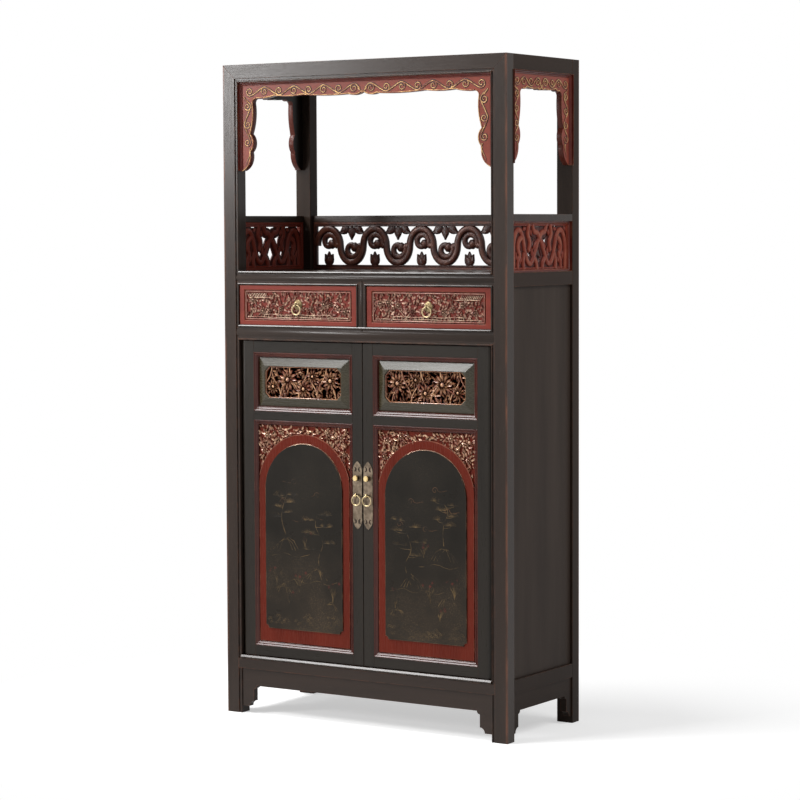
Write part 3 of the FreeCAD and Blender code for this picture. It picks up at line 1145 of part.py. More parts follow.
doc.recompute()
for built in doc.Objects:
    if "Invalid" in built.State or "Error" in built.State:
        raise RuntimeError(f"{built.Label} did not build: {built.State}")
os.makedirs("parts", exist_ok=True)
for built in pieces:
    if built.Shape.isNull() or not built.Shape.isValid() or not built.Shape.Solids:
        raise RuntimeError(f"{built.Label} is not a sound solid")
    built.Shape.exportStep(f"parts/{built.Label}.step")
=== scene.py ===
import math
import random
import bmesh
import bpy
from mathutils import Matrix, Vector


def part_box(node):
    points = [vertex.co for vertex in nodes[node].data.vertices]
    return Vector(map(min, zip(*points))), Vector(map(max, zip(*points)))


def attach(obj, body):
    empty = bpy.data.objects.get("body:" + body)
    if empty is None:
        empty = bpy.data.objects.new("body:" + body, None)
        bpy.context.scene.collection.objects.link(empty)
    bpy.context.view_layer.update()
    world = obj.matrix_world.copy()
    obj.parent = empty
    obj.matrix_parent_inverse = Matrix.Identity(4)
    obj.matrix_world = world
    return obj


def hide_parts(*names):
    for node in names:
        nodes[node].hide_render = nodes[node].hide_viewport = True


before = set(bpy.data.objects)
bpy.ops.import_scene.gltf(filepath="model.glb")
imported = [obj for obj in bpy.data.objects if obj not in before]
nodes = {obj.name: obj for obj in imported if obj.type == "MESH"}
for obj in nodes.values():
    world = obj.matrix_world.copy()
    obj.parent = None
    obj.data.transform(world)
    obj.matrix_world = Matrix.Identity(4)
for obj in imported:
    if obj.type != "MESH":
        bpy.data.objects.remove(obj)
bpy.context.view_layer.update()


# Corner posts: four square hardwood posts under dark brown lacquer, mortised for every rail.
# The front pair carries a groove and bead down its inner edge. Handling has rubbed the
# sharp edges through to the red ground coat.
def paint(red, green, blue):
    """A colour as it reads on a paint chart, 0 to 255, in the renderer's linear values."""
    shares = [value / 255 for value in (red, green, blue)]
    return tuple(s / 12.92 if s <= 0.04045 else ((s + 0.055) / 1.055) ** 2.4 for s in shares) + (1.0,)


def add_node(tree, kind, inputs=(), **settings):
    """Adds a shader node; each input is a plain value or the output of another node."""
    made = tree.nodes.new(kind)
    for name, value in settings.items():
        setattr(made, name, value)
    for name, value in dict(inputs).items():
        if isinstance(value, bpy.types.NodeSocket):
            tree.links.new(value, made.inputs[name])
        else:
            made.inputs[name].default_value = value
    return made


def mix_colours(tree, factor, first, second):
    return add_node(tree, "ShaderNodeMix", {0: factor, 6: first, 7: second}, data_type="RGBA").outputs[2]


def remap(tree, value, low, high, new_low=0.0, new_high=1.0):
    inputs = {"Value": value, "From Min": low, "From Max": high, "To Min": new_low, "To Max": new_high}
    return add_node(tree, "ShaderNodeMapRange", inputs).outputs[0]


def math_node(tree, operation, first, second):
    return add_node(tree, "ShaderNodeMath", {0: first, 1: second}, operation=operation).outputs[0]


def vector_node(tree, operation, *values):
    made = add_node(tree, "ShaderNodeVectorMath", dict(enumerate(values)), operation=operation)
    return made.outputs["Value" if operation in ("DOT_PRODUCT", "DISTANCE", "LENGTH") else "Vector"]


def piece_place(tree):
    return add_node(tree, "ShaderNodeTexCoord").outputs["Object"]


def mottling(tree, place, scale, detail, roughness=0.5):
    inputs = {"Vector": place, "Scale": scale, "Detail": detail, "Roughness": roughness}
    return add_node(tree, "ShaderNodeTexNoise", inputs).outputs[0]


def shader_group(name, inputs, outputs):
    """An empty shader group with its named sockets, and the nodes its inputs and outputs are at."""
    group = bpy.data.node_groups.new(name, "ShaderNodeTree")
    for label, value in inputs.items():
        kind = "NodeSocketVector" if isinstance(value, tuple) else "NodeSocketFloat"
        socket = group.interface.new_socket(label, in_out="INPUT", socket_type=kind)
        socket.default_value = value
    for label in outputs:
        group.interface.new_socket(label, in_out="OUTPUT", socket_type="NodeSocketFloat")
    return group, group.nodes.new("NodeGroupInput").outputs, group.nodes.new("NodeGroupOutput").inputs


# Rubbed edges: how far the rounded normal leaves the true one, broken up in patches.
rubbed_edges, given, result = shader_group(
    "rubbed_edges", {"Radius": 0.003, "Patch Scale": 35.0, "Amount": 1.0}, ["Mask"])
rounded = add_node(rubbed_edges, "ShaderNodeBevel", {"Radius": given["Radius"]}, samples=6).outputs[0]
true_normal = add_node(rubbed_edges, "ShaderNodeNewGeometry").outputs["Normal"]
edge = remap(rubbed_edges, vector_node(rubbed_edges, "DOT_PRODUCT", rounded, true_normal), 0.985, 0.80)
patches = mottling(rubbed_edges, piece_place(rubbed_edges), given["Patch Scale"], 6.0)
patchy = remap(rubbed_edges, patches, 0.42, 0.62, 0.08, 1.0)
worn = math_node(rubbed_edges, "MULTIPLY", math_node(rubbed_edges, "MULTIPLY", edge, patchy), given["Amount"])
rubbed_edges.links.new(worn, result["Mask"])

# Brushed lacquer: fine streaks along the member, and slow changes of depth over it.
brushed_lacquer, given, result = shader_group(
    "brushed_lacquer", {"Stretch": (60.0, 60.0, 6.0), "Mottle Scale": 0.28}, ["Streaks", "Mottle"])
stretched = vector_node(brushed_lacquer, "MULTIPLY", piece_place(brushed_lacquer), given["Stretch"])
fine = mottling(brushed_lacquer, stretched, 6.0, 7.0, 0.62)
brushed_lacquer.links.new(remap(brushed_lacquer, fine, 0.3, 0.7), result["Streaks"])
slow = mottling(brushed_lacquer, stretched, given["Mottle Scale"], 4.0)
brushed_lacquer.links.new(remap(brushed_lacquer, slow, 0.32, 0.68), result["Mottle"])


def new_material(name):
    material = bpy.data.materials.new(name)
    material.use_nodes = True
    tree = material.node_tree
    return material, tree, tree.nodes["Principled BSDF"]


def bump(tree, shader, height, strength, depth):
    raised = add_node(tree, "ShaderNodeBump", {"Height": height, "Strength": strength, "Distance": depth})
    tree.links.new(raised.outputs[0], shader.inputs["Normal"])


def lacquer(name, stretch, deep, light, ground, rough, wear, gloss=0.25, rubbed=0.003):
    """Lacquer brushed on along the member, two depths of one colour, worn to its ground coat at the edges."""
    material, tree, shader = new_material(name)
    shader.inputs["Specular IOR Level"].default_value = gloss
    brushed = add_node(tree, "ShaderNodeGroup", {"Stretch": stretch}, node_tree=brushed_lacquer)
    colour = mix_colours(tree, brushed.outputs["Mottle"], deep, light)
    streaked = math_node(tree, "MULTIPLY", brushed.outputs["Streaks"], 0.35)
    colour = mix_colours(tree, streaked, colour, light)
    edges = add_node(tree, "ShaderNodeGroup", {"Amount": wear, "Radius": rubbed}, node_tree=rubbed_edges)
    tree.links.new(mix_colours(tree, edges.outputs["Mask"], colour, ground), shader.inputs["Base Color"])
    sheen = remap(tree, brushed.outputs["Streaks"], 0.0, 1.0, rough - 0.04, rough + 0.04)
    tree.links.new(sheen, shader.inputs["Roughness"])
    bump(tree, shader, brushed.outputs["Streaks"], 0.05, 0.0006)
    return material


ALONG_X = (5.0, 60.0, 60.0)
ALONG_Y = (60.0, 5.0, 60.0)
ALONG_Z = (60.0, 60.0, 5.0)
GROUND_COAT = paint(120, 74, 52)
CASE_COAT = (paint(39, 31, 26), paint(52, 41, 35), GROUND_COAT)
FRONT_FINISH = {"rough": 0.24, "wear": 0.7, "gloss": 0.20}
REAR_GLOSS = 0.05
upright_lacquer = lacquer("case_lacquer_upright", ALONG_Z, *CASE_COAT, **FRONT_FINISH)
level_lacquer = lacquer("case_lacquer_level", ALONG_X, *CASE_COAT, **FRONT_FINISH)
rear_lacquer = lacquer("case_lacquer_rear", ALONG_Z, *CASE_COAT, rough=0.34, wear=0.7, gloss=REAR_GLOSS)
end_lacquer = lacquer("case_lacquer_end", ALONG_Y, *CASE_COAT, rough=0.36, wear=0.7, gloss=REAR_GLOSS)


def wear_corners(material, corner, worn_colour):
    """Rubs the long outer corners of the posts through to the ground coat, in broken lengths."""
    tree = material.node_tree
    base = tree.nodes["Principled BSDF"].inputs["Base Color"]
    where = piece_place(tree)
    level = vector_node(tree, "MULTIPLY", vector_node(tree, "ABSOLUTE", where), (1, 1, 0))
    off = vector_node(tree, "DISTANCE", level, corner)
    patches = mottling(tree, vector_node(tree, "MULTIPLY", where, (60, 60, 9)), 1.0, 6.0)
    kept = remap(tree, patches, 0.40, 0.62, 0.15, 1.0)
    mask = math_node(tree, "MULTIPLY", remap(tree, off, 0.0065, 0.0015), kept)
    tree.links.new(mix_colours(tree, mask, base.links[0].from_socket, worn_colour), base)


post_corner = (*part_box("rear_right_post")[1].xy, 0.0)
wear_corners(upright_lacquer, post_corner, paint(104, 66, 49))
wear_corners(rear_lacquer, post_corner, paint(84, 52, 40))
WELD_GAP = 0.00002
EASED_ANGLE = math.radians(40)


def finish_node(name, material, eased=0.0009):
    """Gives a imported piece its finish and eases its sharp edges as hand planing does."""
    piece = nodes[name]
    piece.data.materials.clear()
    piece.data.materials.append(material)
    weld = piece.modifiers.new("joined_corners", "WELD")
    weld.merge_threshold = WELD_GAP
    softened = piece.modifiers.new("eased_edges", "BEVEL")
    softened.width = eased
    softened.segments = 2
    softened.limit_method = "ANGLE"
    softened.angle_limit = EASED_ANGLE


for post in ("front_left_post", "front_right_post"):
    finish_node(post, upright_lacquer)
for post in ("rear_left_post", "rear_right_post"):
    finish_node(post, rear_lacquer)

# Rails: lacquered hardwood frames at the top, the shelf, under the drawers and at the bottom.
# They are tenoned into the posts; the front ones have crowned faces and beads along both edges.
for rail in ("top_front_rail", "top_rear_rail", "shelf_front_rail", "shelf_rear_rail", "drawer_rail",
             "bottom_front_rail", "bottom_rear_rail", "gallery_rails"):
    finish_node(rail, level_lacquer)
for rail in ("top_end_rails", "shelf_end_rails", "bottom_end_rails"):
    finish_node(rail, end_lacquer)
finish_node("drawer_divider", upright_lacquer)

# Panels: thin boards floating in grooves of the rails and posts, lacquered like the frame.
# The sides and back are upright boards, the top and the shelves lie lengthwise.
PANEL_COAT = (paint(50, 42, 37), paint(66, 56, 50), GROUND_COAT)
panel_lacquer = lacquer("panel_lacquer_upright", ALONG_Z, *PANEL_COAT, rough=0.40, wear=0.4, gloss=REAR_GLOSS)
board_lacquer = lacquer("panel_lacquer_level", ALONG_X, *PANEL_COAT, rough=0.36, wear=0.4, gloss=0.15)
for panel in ("side_panels", "back_panel"):
    finish_node(panel, panel_lacquer)
for panel in ("top_panel", "shelf_panel", "bottom_panel"):
    finish_node(panel, board_lacquer)

# Base aprons: plain boards with bracket feet under the bottom rails, lacquered with the case.
# They are glued up behind the front face of the posts, so a thin shadow line shows round them.
BRACKET_EASED = 0.0014
finish_node("front_base_apron", level_lacquer, BRACKET_EASED)
finish_node("end_base_aprons", end_lacquer, BRACKET_EASED)


# Front apron: a red lacquered board with a wavy lower edge and two lobed legs, nailed inside the frame.
# A running vine is carved on it, its ridges gilded and rubbed; a rounded lip follows the wavy edge
# and a dark red fillet lines the frame round it.
def around(centre, radius, angle):
    """The point at an angle on a circle."""
    return (centre[0] + radius * math.cos(angle), centre[1] + radius * math.sin(angle))


class Carving:
    """Carved work gathered as one mesh. Its own measures are along, across and out of the face."""

    def __init__(self, place):
        self.place = place
        self.points = []
        self.faces = []
        self.relief = []
        self.tint = []

    def loft(self, rings, foot, crest, tint=0.0, closed=False):
        """Skins rings of points in order, and caps both ends or joins the last ring to the first."""
        first = len(self.points)
        size = len(rings[0])
        count = len(rings)
        for ring in rings:
            self.points.extend(self.place(*point) for point in ring)
            self.relief.extend(max(0.0, min(1.0, (out - foot) / (crest - foot))) for _, _, out in ring)
        self.tint.extend([tint] * size * count)
        for step in range(count if closed else count - 1):
            near = first + step * size
            far = first + (step + 1) % count * size
            for corner in range(size):
                beside = (corner + 1) % size
                self.faces.append((near + corner, near + beside, far + beside, far + corner))
        if not closed:
            last = first + size * (count - 1)
            self.faces.append(tuple(range(first, first + size)))
            self.faces.append(tuple(range(last, last + size)))

    def stem(self, path, width, height, base=0.0, taper=0.4, tint=0.0, sides=8, roundness=1.0, gilt=True):
        """A rounded strand on a path of (along, across) points, thinning towards its end.

        A roundness under one flattens its top and sides.
        """
        rings = []
        for index, (along, across) in enumerate(path):
            before = path[max(index - 1, 0)]
            after = path[min(index + 1, len(path) - 1)]
            heading = math.atan2(after[1] - before[1], after[0] - before[0])
            scale = 1 - (1 - taper) * index / (len(path) - 1)
            ring = []
            for side in range(sides):
                turn = 2 * math.pi * (side + 0.5) / sides
                reach = math.copysign(abs(math.cos(turn)) ** roundness, math.cos(turn))
                rise = math.copysign(abs(math.sin(turn)) ** roundness, math.sin(turn))
                offset = reach * width / 2 * scale
                ring.append((along - math.sin(heading) * offset, across + math.cos(heading) * offset,
                             base + rise * height * scale))
            rings.append(ring)
        self.loft(rings, base, base + height if gilt else base + 1.0, tint)

    def leaf(self, foot, angle, length, width, height, bend=0.0, base=0.0, fullness=0.8, tint=0.0):
        """A leaf or petal: two rounded halves with a cut midrib. A high fullness widens it near the tip."""
        section = ((-1.0, 0.2), (-0.55, 0.95), (0.0, 0.6), (0.55, 0.95), (1.0, 0.2), (0.5, -0.35),
                   (-0.5, -0.35))
        steps = 6
        along, across = foot
        rings = []
        for step in range(steps + 1):
            share = step / steps
            heading = angle + bend * share
            spread = width / 2 * max(0.08, math.sin(math.pi * min(share, 0.96) ** fullness))
            lift = height * (0.55 + 0.45 * math.sin(math.pi * share))
            ring = []
            for offset, rise in section:
                ring.append((along - math.sin(heading) * offset * spread,
                             across + math.cos(heading) * offset * spread, base + rise * lift))
            rings.append(ring)
            along += math.cos(heading) * length / steps
            across += math.sin(heading) * length / steps
        self.loft(rings, base, base + height, tint)

    def boss(self, centre, radius, height, base=0.0):
        """A round knob, buried by a third of its height."""
        turns = [2 * math.pi * corner / 9 for corner in range(9)]
        rings = []
        for level in (-20, 10, 40, 65, 85):
            reach = radius * math.cos(math.radians(level))
            out = base + height * math.sin(math.radians(level))
            rings.append([(*around(centre, reach, turn), out) for turn in turns])
        self.loft(rings, base, base + height)

    def flower(self, centre, radius, petals, height, base, tint, start, slim=1.0):
        """Two rings of petals round a knob."""
        for ring, share in ((0, 1.0), (1, 0.62)):
            length = radius * share * 0.88
            width = radius * share * 4.4 / petals * slim
            rise = height * (0.75 + 0.25 * ring)
            for petal in range(petals):
                angle = start + 2 * math.pi * (petal + ring / 2) / petals
                foot = around(centre, 0.15 * radius, angle)
                self.leaf(foot, angle, length, width, rise, bend=0.35, base=base + ring * height * 0.3,
                          fullness=1.5, tint=tint)
        self.boss(centre, radius * 0.24, height * 0.75, base + height * 0.45)

    def make(self, name, material, body, slot, *replaced):
        mesh = bpy.data.meshes.new(name)
        mesh.from_pydata(self.points, [], self.faces)
        shape = bmesh.new()
        shape.from_mesh(mesh)
        bmesh.ops.recalc_face_normals(shape, faces=shape.faces)
        shape.to_mesh(mesh)
        shape.free()
        for label, values in (("relief", self.relief), ("tint", self.tint)):
            mesh.attributes.new(label, "FLOAT", "POINT").data.foreach_set("value", values)
        mesh.polygons.foreach_set("use_smooth", [True] * len(mesh.polygons))
        mesh.set_sharp_from_angle(angle=math.radians(55))
        mesh.materials.append(material)
        piece = bpy.data.objects.new(name, mesh)
        bpy.context.scene.collection.objects.link(piece)
        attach(piece, body)
        if replaced:
            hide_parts(*replaced)
        return piece


def curl(centre, radius, start, turns, sense, end_share=0.2):
    """A spiral that winds in from its start angle, sense 1 turning left and -1 turning right."""
    steps = max(8, round(18 * turns))
    path = []
    for step in range(steps + 1):
        share = step / steps
        reach = radius * (1 - (1 - end_share) * share ** 1.15)
        angle = start + sense * 2 * math.pi * turns * share
        path.append(around(centre, reach, angle))
    return path


def sweep(first, out, into, last, steps):
    """A cubic curve between two points with its two handles."""
    path = []
    for step in range(steps):
        t = step / steps
        weights = ((1 - t) ** 3, 3 * t * (1 - t) ** 2, 3 * t * t * (1 - t), t ** 3)
        shares = list(zip(weights, (first, out, into, last)))
        path.append(tuple(sum(weight * point[axis] for weight, point in shares) for axis in (0, 1)))
    return path


def strand_over_painted_groove_shade(carving, path, width, height, taper=0.8):
    """One strand of a vine: a thin ridge on a wider, flat dark ribbon, which is painted shade for the groove
    cut beside it.
    """
    carving.stem(path, width * 2.5, 0.0004, taper=taper, tint=1.0, sides=6, gilt=False)
    carving.stem(path, width, height, taper=taper)


def running_vine(carving, length, curls, radius, width, height, first_side):
    """A running scroll: each stalk leaves the back of one curl and winds into the next on the other side."""
    pitch = length / curls
    lean = math.radians(68)
    start = (0.0, -first_side * radius)
    for unit in range(curls):
        side = first_side if unit % 2 == 0 else -first_side
        centre = (pitch * (unit + 0.55), 0.0)
        winding = curl(centre, radius, side * (math.pi - lean), 1.3, -side)
        entry = winding[0]
        reach = 0.42 * math.hypot(entry[0] - start[0], entry[1] - start[1])
        glide = (reach * math.sin(lean), side * reach * math.cos(lean))
        stalk = sweep(start, (start[0] + glide[0], start[1] + glide[1]),
                      (entry[0] - glide[0], entry[1] - glide[1]), entry, 12)
        strand_over_painted_groove_shade(carving, stalk + winding, width, height)
        for share, turn in ((4, 1), (8, -1)):
            foot = stalk[share]
            tip = (foot[0] + turn * pitch * 0.06, foot[1] + turn * side * radius * 0.85)
            bow = (foot[0] + turn * pitch * 0.16, foot[1] + turn * side * radius * 0.35)
            strand_over_painted_groove_shade(carving, sweep(foot, bow, bow, tip, 5), width * 0.85, height, 0.4)
        start = around(centre, 0.95 * radius, side * lean)


def face_rims(node, axis, level):
    """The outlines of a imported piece's flat faces at one level of an axis, as loops of points."""
    shape = bmesh.new()
    shape.from_mesh(nodes[node].data)
    bmesh.ops.remove_doubles(shape, verts=shape.verts, dist=WELD_GAP)
    flat = [face for face in shape.faces if all(abs(vert.co[axis] - level) < 0.0001 for vert in face.verts)]
    rim_edges = [edge for face in flat for edge in face.edges
                 if sum(other in flat for other in edge.link_faces) == 1]
    loops = []
    while rim_edges:
        edge = rim_edges.pop(0)
        loop = [edge.verts[0], edge.verts[1]]
        while True:
            onward = [other for other in loop[-1].link_edges if other in rim_edges]
            if not onward:
                break
            rim_edges.remove(onward[0])
            loop.append(onward[0].other_vert(loop[-1]))
        loops.append([vert.co.copy() for vert in loop])
    shape.free()
    return loops


def mitred_run(carving, corners, profile, crest, closed=True):
    """A moulding along corners that turn left; its closed profile gives insets to the left and heights."""
    count = len(corners)
    rings = []
    for index, corner in enumerate(corners):
        here = Vector(corner)
        leaving = (Vector(corners[(index + 1) % count]) - here).normalized()
        arriving = (here - Vector(corners[index - 1])).normalized()
        if not closed and index == 0:
            arriving = leaving
        if not closed and index == count - 1:
            leaving = arriving
        first = Vector((-arriving.y, arriving.x))
        second = Vector((-leaving.y, leaving.x))
        mitre = (first + second) / (1 + first.dot(second))
        rings.append([(*(here + mitre * inset), out) for inset, out in profile])
    carving.loft(rings, 0.0, crest, closed=closed)


RUBBED_TAN = paint(186, 140, 98)


def red_boards(name, stretch, deep, light):
    """Red lacquer over carved wood, darker where it lies thick, rubbed to tan wood at the edges."""
    return lacquer(name, stretch, deep, light, RUBBED_TAN, rough=0.34, wear=0.9, gloss=0.16)


def darken_backs(material, axis, edge, back):
    """Darkens a board by the way each face turns from its outer face: sideways faces browner, inward faces
    near black.
    """
    tree = material.node_tree
    base = tree.nodes["Principled BSDF"].inputs["Base Color"]
    shape = add_node(tree, "ShaderNodeNewGeometry").outputs
    outward = vector_node(tree, "MULTIPLY", vector_node(tree, "SIGN", shape["Position"]), axis)
    facing = vector_node(tree, "DOT_PRODUCT", shape["Normal"], outward)
    colour = mix_colours(tree, remap(tree, facing, 0.3, 0.7), edge, base.links[0].from_socket)
    tree.links.new(mix_colours(tree, remap(tree, facing, -0.3, -0.7), colour, back), base)


APRON_DEEP = paint(110, 47, 36)
APRON_LIGHT = paint(138, 66, 51)
APRON_EDGE = paint(84, 38, 29)
APRON_BACK = paint(26, 19, 16)
apron_red = red_boards("apron_red", ALONG_X, APRON_DEEP, APRON_LIGHT)
darken_backs(apron_red, (0, 1, 0), APRON_EDGE, APRON_BACK)
end_apron_red = red_boards("end_apron_red", ALONG_Y, APRON_DEEP, APRON_LIGHT)
darken_backs(end_apron_red, (1, 0, 0), APRON_EDGE, APRON_BACK)

# Rubbed gilding: gold left on the ridges of carved work, lost in patches, none in the hollows. Its second
# output is painted shade, ambient occlusion darkening the hollows.
rubbed_gilding_and_painted_shade, given, result = shader_group(
    "rubbed_gilding_and_painted_shade", {"Relief": 0.0, "From": 0.55, "To": 0.9, "Patch Scale": 60.0}, ["Gold", "Hollow Painted Shade"])
patches = mottling(rubbed_gilding_and_painted_shade, piece_place(rubbed_gilding_and_painted_shade), given["Patch Scale"], 5.0)
crest = remap(rubbed_gilding_and_painted_shade, given["Relief"], given["From"], given["To"])
kept = remap(rubbed_gilding_and_painted_shade, patches, 0.38, 0.56, 0.15, 1.0)
rubbed_gilding_and_painted_shade.links.new(math_node(rubbed_gilding_and_painted_shade, "MULTIPLY", crest, kept), result["Gold"])
shade = add_node(rubbed_gilding_and_painted_shade, "ShaderNodeAmbientOcclusion", {"Distance": 0.008}, samples=6)
rubbed_gilding_and_painted_shade.links.new(remap(rubbed_gilding_and_painted_shade, shade.outputs["AO"], 0.25, 0.85, 1.0, 0.0), result["Hollow Painted Shade"])


def gilded_carving(name, body_colour, flower_and_painted_shade_colour, gold, hollow_painted_shade, gold_from, gold_to, rough, gloss=0.5):
    """Carved wood under red lacquer: painted shade darkening the hollows, coloured sides, rubbed gold on the
    ridges.
    """
    material, tree, shader = new_material(name)
    shader.inputs["Specular IOR Level"].default_value = gloss
    relief = add_node(tree, "ShaderNodeAttribute", attribute_name="relief").outputs["Fac"]
    tint = add_node(tree, "ShaderNodeAttribute", attribute_name="tint").outputs["Fac"]
    ridges = {"Relief": relief, "From": gold_from, "To": gold_to}
    gilding_and_painted_shade = add_node(tree, "ShaderNodeGroup", ridges, node_tree=rubbed_gilding_and_painted_shade)
    brushed = add_node(tree, "ShaderNodeGroup", {"Stretch": (40.0, 40.0, 40.0)}, node_tree=brushed_lacquer)
    colour = mix_colours(tree, tint, body_colour, flower_and_painted_shade_colour)
    colour = mix_colours(tree, gilding_and_painted_shade.outputs["Gold"], colour, gold)
    colour = mix_colours(tree, gilding_and_painted_shade.outputs["Hollow Painted Shade"], colour, hollow_painted_shade)
    tree.links.new(colour, shader.inputs["Base Color"])
    tree.links.new(remap(tree, brushed.outputs["Streaks"], 0.0, 1.0, rough - 0.08, rough + 0.1),
                   shader.inputs["Roughness"])
    tree.links.new(remap(tree, gilding_and_painted_shade.outputs["Gold"], 0.0, 1.0, 0.0, 0.35), shader.inputs["Metallic"])
    bump(tree, shader, brushed.outputs["Streaks"], 0.25, 0.0005)
    return material


# The second colour here only colours the dark ribbons beside the vine: painted groove shade.
apron_gilding = gilded_carving(
    "apron_gilding", paint(132, 66, 50), paint(56, 22, 17), gold=paint(206, 164, 112),
    hollow_painted_shade=paint(58, 23, 18), gold_from=0.25, gold_to=0.7, rough=0.40, gloss=0.3)
fillet_red = lacquer(
    "fillet_red", ALONG_Z, paint(74, 23, 18), paint(102, 35, 26), RUBBED_TAN,
    rough=0.30, wear=0.6, rubbed=0.0015)
APRON_EASED = 0.0016
VINE_WIDTH = 0.0034
VINE_RISE = 0.0022
VINE_END_GAP = 0.012
LEG_VINE_INSET = 0.0255
LEG_VINE_DROP = 0.014
LIP_WIDTH = 0.0026
LIP_RISE = 0.0018
LIP_INSET = 0.0024
LEG_EDGE = 0.008
APRON_FILLET = [(0.0, -0.0006), (0.0, 0.0108), (0.0005, 0.0108), (0.0005, 0.0050), (0.0018, 0.0056),
                (0.0036, 0.0050), (0.0046, 0.0026), (0.0054, 0.0034), (0.0072, 0.0032), (0.0084, 0.0014),
                (0.0086, -0.0006)]
FILLET_CREST = 0.0056


def lip(carving, path):
    """A rounded lip beside a wavy edge, its path already in along and across."""
    carving.stem(path, LIP_WIDTH, LIP_RISE, taper=1.0)


def leg_lips(carving, loop, axis, outer):
    """The lip down the lobed inner edge of one leg, from the outline of its face."""
    side = 1 if loop[0][axis] > 0 else -1
    inner = sorted({(round(p.z, 5), round(p[axis], 5)) for p in loop if abs(p[axis]) < outer - LEG_EDGE},
                   reverse=True)
    lip(carving, [(along + side * LIP_INSET, across) for across, along in inner])


def three_sides(fillet, half_width, foot, head):
    """The fillet up one side of the bay, along its head and down the other."""
    corners = [(half_width, foot), (half_width, head), (-half_width, head), (-half_width, foot)]
    mitred_run(fillet, corners, APRON_FILLET, FILLET_CREST, closed=False)


for name in ("front_apron_top", "front_apron_legs"):
    finish_node(name, apron_red, APRON_EASED)
apron_low, apron_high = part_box("front_apron_top")
leg_low, leg_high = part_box("front_apron_legs")
apron_face = apron_low.y
vine_middle = (apron_low.z + apron_high.z) / 2 - 0.0035
WAVE_DEPTH = 0.012
WAVE_REACH = 0.3475
front_carving = Carving(None)
for half in (-1, 1):
    front_carving.place = lambda along, across, out: (half * along, apron_face - out, vine_middle + across)
    running_vine(front_carving, apron_high.x - VINE_END_GAP, 8, 0.0118, VINE_WIDTH, VINE_RISE, 1)
    front_carving.place = lambda along, across, out: (
        half * (leg_high.x - LEG_VINE_INSET + across), apron_face - out, vine_middle - LEG_VINE_DROP - along)
    running_vine(front_carving, 0.145, 3, 0.0108, VINE_WIDTH, VINE_RISE, -1)
    tail = sweep((0.140, -0.006), (0.163, -0.016), (0.170, 0.010), (0.192, 0.004), 12)
    strand_over_painted_groove_shade(front_carving, tail, VINE_WIDTH * 0.9, VINE_RISE, 0.4)
front_carving.place = lambda along, across, out: (along, apron_face - out, across)
top_rim = [p for loop in face_rims("front_apron_top", 1, apron_face) for p in loop]
wavy = sorted({(round(p.x, 5), round(p.z, 5)) for p in top_rim
               if p.z < apron_low.z + WAVE_DEPTH and abs(p.x) < WAVE_REACH})
lip(front_carving, [(x, z + LIP_INSET) for x, z in wavy])
for loop in face_rims("front_apron_legs", 1, apron_face):
    leg_lips(front_carving, loop, 0, leg_high.x)
front_carving.make("front_apron_carving", apron_gilding, "case", "gilt_carving")
front_fillet = Carving(front_carving.place)
three_sides(front_fillet, apron_high.x, leg_low.z, apron_high.z)
front_fillet.make("front_apron_fillet", fillet_red, "case", "red_lacquer")

# End aprons: the same carved boards, smaller, in the open ends of the bay.
# Each end has a top board and two lobed legs with a vine of tighter curls, inside the same fillet.
finish_node("end_aprons", end_apron_red, APRON_EASED)
end_low, end_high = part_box("end_aprons")
END_VINE_MIDDLE = end_high.z - 0.0275
END_VINE_DROP = 0.012
END_WAVE_TOP = end_high.z - 0.037
END_WAVE_REACH = end_high.y - 0.0575
end_carving = Carving(None)
end_fillet = Carving(None)
for end in (-1, 1):
    for half in (-1, 1):
        end_carving.place = lambda along, across, out: (
            end * (end_high.x + out), half * along, END_VINE_MIDDLE + across)
        running_vine(end_carving, end_high.y - VINE_END_GAP, 4, 0.0112, VINE_WIDTH * 0.9, VINE_RISE, 1)
        end_carving.place = lambda along, across, out: (
            end * (end_high.x + out), half * (end_high.y - LEG_VINE_INSET + across),
            END_VINE_MIDDLE - END_VINE_DROP - along)
        running_vine(end_carving, 0.150, 4, 0.0104, VINE_WIDTH * 0.9, VINE_RISE, -1)
        tail = sweep((0.145, -0.004), (0.160, -0.010), (0.168, 0.006), (0.186, 0.003), 10)
        strand_over_painted_groove_shade(end_carving, tail, VINE_WIDTH * 0.8, VINE_RISE, 0.4)
    end_carving.place = lambda along, across, out: (end * (end_high.x + out), along, across)
    for loop in face_rims("end_aprons", 0, end * end_high.x):
        if max(p.z for p in loop) > end_high.z - 0.001:
            wavy = sorted({(round(p.y, 5), round(p.z, 5)) for p in loop
                           if p.z < END_WAVE_TOP and abs(p.y) < END_WAVE_REACH})
            lip(end_carving, [(y, z + LIP_INSET) for y, z in wavy])
        else:
            leg_lips(end_carving, loop, 1, end_high.y)
    end_fillet.place = end_carving.place
    three_sides(end_fillet, end_high.y, end_low.z, end_high.z)
end_carving.make("end_apron_carving", apron_gilding, "case", "gilt_carving")
end_fillet.make("end_apron_fillet", fillet_red, "case", "red_lacquer")

# Gallery: three pierced panels round the back and ends of the open shelf, tongued under the gallery rails.
# Thick strands are sawn out and rounded on both faces inside a moulded border. The end panels are
# red lacquered hooks and knots; the rear one is a running scroll in dark brown.
def box_corners(half_width, half_height):
    low, high = -half_height, half_height
    return [(-half_width, low), (half_width, low), (half_width, high), (-half_width, high)]


def moulded_border(carving, width, height, border, depth):
    """A border with a sunk bead along its inner edge, the same on both faces."""
    face = [(0.0, depth), (border * 0.50, depth), (border * 0.58, depth * 0.66),
            (border * 0.72, depth * 0.80), (border * 0.92, depth * 0.74), (border, depth * 0.40)]
    back = [(inset, -out) for inset, out in reversed(face)]
    mitred_run(carving, box_corners(width / 2, height / 2), face + back, depth)


